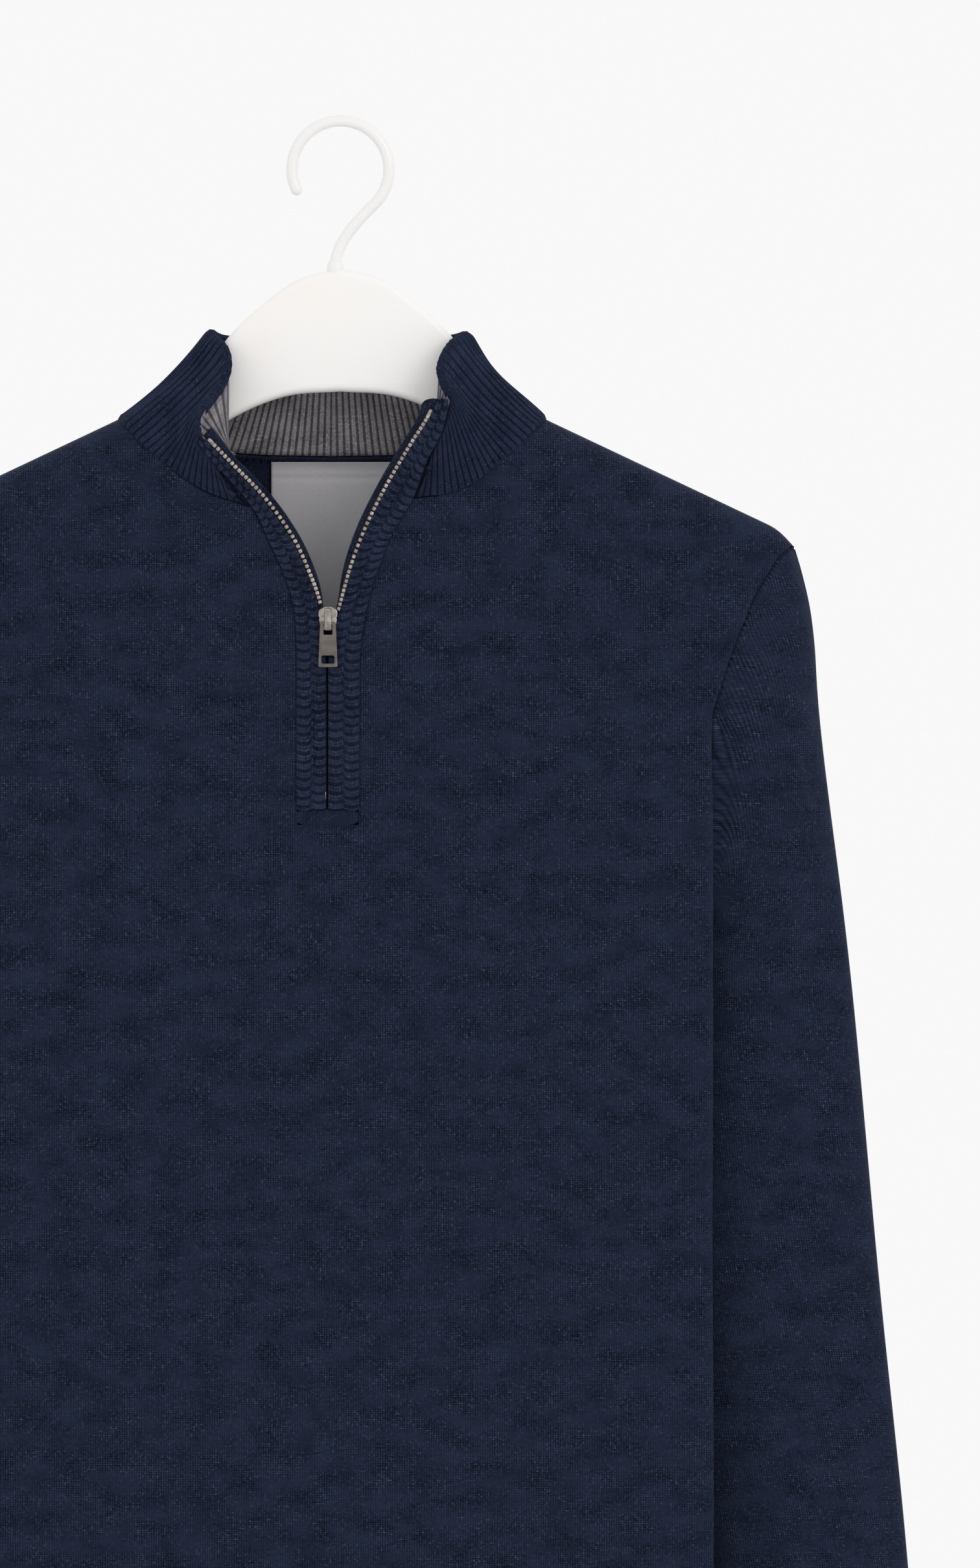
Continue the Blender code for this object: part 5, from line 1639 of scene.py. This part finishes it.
# %% Make the slider
SLIDER_X, SLIDER_BACK, SLIDER_PLATE = -1.9, -41.2, 2.2
plate_y = SLIDER_BACK - SLIDER_PLATE / 2.0
face_y = SLIDER_BACK - SLIDER_PLATE


def mirrored(half_outline, middle):
    """A full outline from its right half, given from the top down."""
    right = [(middle + x, z) for x, z in half_outline]
    left = [(middle - x, z) for x, z in reversed(half_outline)]
    return right + left


def off_face(outline):
    """An outline seen from the side, given as (how far in front of the slider's face, z)."""
    return [(face_y - out, z) for out, z in outline]


CROWN = (
    # half width, z
    (1.4, -93.9), (4.2, -95.2), (4.95, -96.6), (4.9, -99.0), (4.3, -99.7), (4.7, -100.2), (4.4, -102.0),
    (3.6, -106.0),
)
RAISED = ((1.9, -94.9), (3.9, -96.0), (4.0, -98.6), (3.4, -99.2), (2.2, -99.3))
BRIDGE_RIM = ((-0.5, -94.4), (2.6, -94.8), (3.6, -97.2), (3.7, -102.6), (2.6, -106.3), (-0.5, -106.6))
BRIDGE_HOLE = ((0.1, -96.3), (1.9, -96.7), (2.45, -98.4), (2.55, -102.2), (1.8, -104.9), (0.1, -105.2))
crown = plate("crown", [rounded(mirrored(CROWN, SLIDER_X), 0.7)], 1.1, 0.45, nickel, "front", plate_y)
raised_rim = rounded(mirrored(RAISED, SLIDER_X), 0.5)
raised = plate("crown_rise", [raised_rim], 0.45, 0.3, nickel, "front", face_y - 0.2)
bridge_outlines = [rounded(off_face(BRIDGE_RIM), 1.9), rounded(off_face(BRIDGE_HOLE), 0.9)]
bridge = plate("bridge", bridge_outlines, 1.75, 0.5, nickel, "side", SLIDER_X, 4)
slider = joined("zip_slider_cast", [crown, raised, bridge])
stands_for(slider, ["zip_slider"])
print("slider faces:", len(slider.data.polygons))

# %% Make the pull tab
TAB_GAP, WINDOW_MIDDLE = 1.25, -121.1
tab_y = face_y - TAB_GAP
TAB_RIM = ((4.0, -101.7), (5.0, -125.0))
TAB_SLOT = ((2.3, -103.2), (2.3, -108.3))
TAB_WINDOW = ((3.4, -119.0), (3.4, -123.2))
tab_outlines = [
    rounded(mirrored(half, SLIDER_X), radius)
    for half, radius in ((TAB_RIM, 0.9), (TAB_SLOT, 0.5), (TAB_WINDOW, 0.9))
]
tab_plate = plate("tab_plate", tab_outlines, 0.65, 0.22, gunmetal, "front", tab_y)
# A raised border round the window.
border_half = [(x * 1.13, WINDOW_MIDDLE + (z - WINDOW_MIDDLE) * 1.2) for x, z in TAB_WINDOW]
border_outer = rounded(mirrored(border_half, SLIDER_X), 1.1)
border = plate("tab_border", [border_outer, tab_outlines[2]], 0.3, 0.12, gunmetal, "front", tab_y - 0.62)
tab = joined("pull_tab_stamped", [tab_plate, border])
stands_for(tab, ["pull_tab"], "pull_tab")
print("pull tab faces:", len(tab.data.polygons))

# %% [markdown]
# ## The label
#
# A bare square of satin is sewn under the back of the neck along its top edge only, so its lower
# edge hangs free and curls a little. Its top edge is folded under, and a line of small stitches
# runs below the fold.

# %% Make the label and its stitches
LABEL_TOP, LABEL_LONG, LABEL_HALF = -18.9, 79.0, 31.5
STITCH, STITCH_APART, STITCH_LEVEL, STITCH_PROUD = (0.32, 0.22, 1.5), 2.1, 0.925, 0.42


def label_form(u, v):
    x = mix(-LABEL_HALF, LABEL_HALF, u)
    z = mix(LABEL_TOP - LABEL_LONG, LABEL_TOP, v)
    lean = 1.0 + 5.0 * (1.0 - v) ** 1.5
    return stack(x, back_y(x, z) - 2.6 - lean, z)


def label_relief(u, v, points):
    fold = 0.35 * smooth(v, 0.86, 0.9)
    dent = -0.3 * swell(v, STITCH_LEVEL, 0.012)
    wave = (0.5 * np.sin(math.pi * u * 1.6 + 0.6) + 0.25 * np.sin(14.0 * u + 5.0 * v)) * (1.0 - v)
    return -(fold + dent + wave)


def label_flat(u, v):
    return u * 2.0 * LABEL_HALF, v * LABEL_LONG


label = cloth("neck_label_satin", (64, 80), label_form, label_flat, silver_satin, label_relief, thick=0.35)
stands_for(label, ["neck_label"])

stitch_u = np.arange(1.6, 62.0, STITCH_APART) / (2.0 * LABEL_HALF)
stitch_v = np.full_like(stitch_u, STITCH_LEVEL)
line = label_form(stitch_u, stitch_v)
sunk = label_relief(stitch_u, stitch_v, line) - STITCH_PROUD
line = line + surface_normal(label_form, stitch_u, stitch_v) * sunk[:, None]
run = Vector((1.0, 0.0, 0.04)).normalized()
spots = [(spot, run, FACING_US, (1.0, 1.0, 1.0)) for spot in line]
stitches = as_object(copies(bevelled_block(STITCH, 0.1, 1), spots), "label_stitches", thread_grey, 70.0)
stands_for(stitches, [])
print("label stitches:", len(spots))

# %% [markdown]
# ## The hanger
#
# The hanger is a flat moulding with an arch cut under its middle and two arms that carry the
# shoulders. All its edges are well rounded so that they don't mark the knit. Its hook is coated
# wire, bent into a short neck, a sweep and most of a circle.

# %% Make the hanger
HANGER_HALF, HANGER_EDGE = 5.0, 3.6
HOOK_RADIUS, WIRE, FERRULE, HOOK_X = 25.0, 3.0, 4.3, -2.7
HOOK_CENTRE = -HOOK_RADIUS + WIRE
JOIN_ANGLE, END_ANGLE = math.radians(-45.0), math.radians(205.0)
HANGER_TOP = (
    # x, z under the hook's seat
    (0.0, -73.0), (20.0, -78.0), (36.0, -88.3), (57.0, -107.7), (79.0, -137.0), (95.0, -157.0),
    (112.0, -168.0), (160.0, -187.0), (196.0, -202.0),
)
HANGER_UNDER = (
    (207.0, -211.0), (203.0, -220.0), (190.0, -221.0), (150.0, -208.0), (110.0, -190.0), (80.0, -168.0),
    (55.0, -150.0), (28.0, -139.0), (0.0, -136.5),
)


def from_seat(x, z):
    """Hook-seat millimetres to garment millimetres."""
    return x - CENTRE_X, z - SHOULDER_Z


def on_centre(spots):
    """Spots under the seat, put in the garment's middle plane."""
    return [(from_seat(x, z)[0], 0.0, from_seat(x, z)[1]) for x, z in spots]


half_rim = []
for table in (HANGER_TOP, HANGER_UNDER):
    x, z = along(table, np.linspace(0.0, 1.0, 8 * (len(table) - 1) + 1))
    half_rim += list(zip(x.tolist(), z.tolist()))
rim = half_rim + [(-x, z) for x, z in reversed(half_rim) if abs(x) > 0.01]
rim = [from_seat(x, z) for x, z in rim]
hanger = plate("hanger_moulding", [rim], HANGER_HALF, HANGER_EDGE, plastic, "front", 0.0, 5)
stands_for(hanger, ["hanger"])
print("the hanger's outline has", len(rim), "points")


# %% Make the hook
def on_hook(angle):
    return Vector((HOOK_RADIUS * math.cos(angle), HOOK_CENTRE + HOOK_RADIUS * math.sin(angle)))


join = on_hook(JOIN_ANGLE)
foot, bend = Vector((HOOK_X, -72.4)), Vector((HOOK_X, -59.4))
pull = join - 11.0 * Vector((-math.sin(JOIN_ANGLE), math.cos(JOIN_ANGLE)))
hook_line = []
for share in np.linspace(0.0, 1.0, 24):
    rest = 1.0 - share
    near, far = foot * rest**3 + bend * 3 * rest**2 * share, pull * 3 * rest * share**2 + join * share**3
    hook_line.append(near + far)
hook_line += [on_hook(angle) for angle in np.linspace(JOIN_ANGLE, END_ANGLE, 64)[1:]]
hook = tube("hanger_hook_wire", on_centre(hook_line), WIRE, 24, coated_wire)
stands_for(hook, ["hanger_hook"])
ferrule_line = on_centre([(HOOK_X, -74.5 + step) for step in np.linspace(0.0, 2.6, 6)])
ferrule = tube("hook_ferrule", ferrule_line, FERRULE, 24, coated_wire)
stands_for(ferrule, [])
print("the hook's wire has", len(hook_line), "points")

# %% [markdown]
# ## What the cloth pieces measure
#
# Each sheet of cloth is listed with the size it was cut to. Where the cut isn't a rectangle, its
# flat area is given too, as the share of the rectangle that it fills. On a tube the width is all the way
# round.

SHEETS = (
    # piece, width, length, share of the rectangle that the cut fills
    ("front_panel", 0.474, 0.643, 0.90), ("back_panel", 0.474, 0.645, 0.92),
    ("sleeve_left_knit", 0.330, 0.590, 0.80), ("sleeve_right_knit", 0.330, 0.590, 0.80),
    ("hem_rib_knit", 0.842, 0.060, None), ("cuff_left_knit", 0.218, 0.062, None),
    ("cuff_right_knit", 0.218, 0.062, None), ("collar_rib_knit", 0.420, 0.074, 0.80),
    ("collar_facing_knit", 0.395, 0.060, 0.80), ("placket_left_rib", 0.199, 0.0153, 0.75),
    ("placket_right_rib", 0.227, 0.0153, 0.85), ("placket_tuck_rib", 0.034, 0.010, None),
    ("zip_tape_left_cloth", 0.195, 0.010, 0.47), ("zip_tape_right_cloth", 0.220, 0.010, 0.47),
    ("placket_left_facing", 0.155, 0.010, None), ("placket_right_facing", 0.170, 0.010, None),
    ("neck_label_satin", 0.063, 0.079, None),
)
for name, width, length, share in SHEETS:
    piece = bpy.data.objects[name]

# %% [markdown]
# ## Light and floor
#
# The garment hangs in a white room: the room itself is the pale ground behind it and gives most of
# the light, evenly from all sides. One wide soft light from the upper right and a weak one from the
# left are enough to show ribs and seams on a dark cloth without hard shadows. The floor is far
# below the hem.

# %% Light the scene
floor = bmesh.new()
FLOOR_Z, FLOOR_RADIUS = -1.75, 6.0
bmesh.ops.create_circle(floor, cap_ends=True, segments=96, radius=FLOOR_RADIUS)
bmesh.ops.translate(floor, verts=floor.verts, vec=(0.0, 0.0, FLOOR_Z))
as_object(floor, "studio_floor", floor_paint)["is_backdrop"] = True


def area_light(name, place, target, size, power, colour):
    data = bpy.data.lights.new(name, "AREA")
    data.shape, data.size, data.size_y = "RECTANGLE", size[0], size[1]
    data.energy, data.color = power, colour
    made = linked(name, data)
    made.location = place
    made.rotation_euler = (Vector(target) - Vector(place)).to_track_quat("-Z", "Y").to_euler()


area_light("key", (1.9, -2.5, 0.9), (0.05, 0.0, -0.4), (1.3, 1.6), 15.0, (1.0, 0.985, 0.96))
area_light("fill", (-2.4, -2.4, 0.2), (0.0, 0.0, -0.45), (1.6, 2.0), 3.0, (0.93, 0.97, 1.0))

ROOM_LIGHT = 0.94
world = bpy.data.worlds.new("studio")
world.use_nodes = True
room = world.node_tree.nodes["Background"].inputs
room["Color"].default_value, room["Strength"].default_value = (1.0, 1.0, 1.0, 1.0), ROOM_LIGHT
bpy.context.scene.world = world
view = bpy.context.scene.view_settings
view.view_transform, view.look, view.exposure = "Standard", "None", 0.0

# %% [markdown]
# ## How far the size grew
#
# The looks must not change the part's size, so how far the box of the finished pieces has grown
# past the box of the plain solids is printed, along each axis.

# %% Print how far the box grew, and the face count
visual_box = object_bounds()
grown = [round((b - a) * 1000, 1) for a, b in zip(cad_box[1] - cad_box[0], visual_box[1] - visual_box[0])]
print("grown by, in mm:", grown)
shown = [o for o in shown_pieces() if o.type == "MESH"]
print("pieces:", len(shown), "faces before thickness:", sum(len(o.data.polygons) for o in shown))
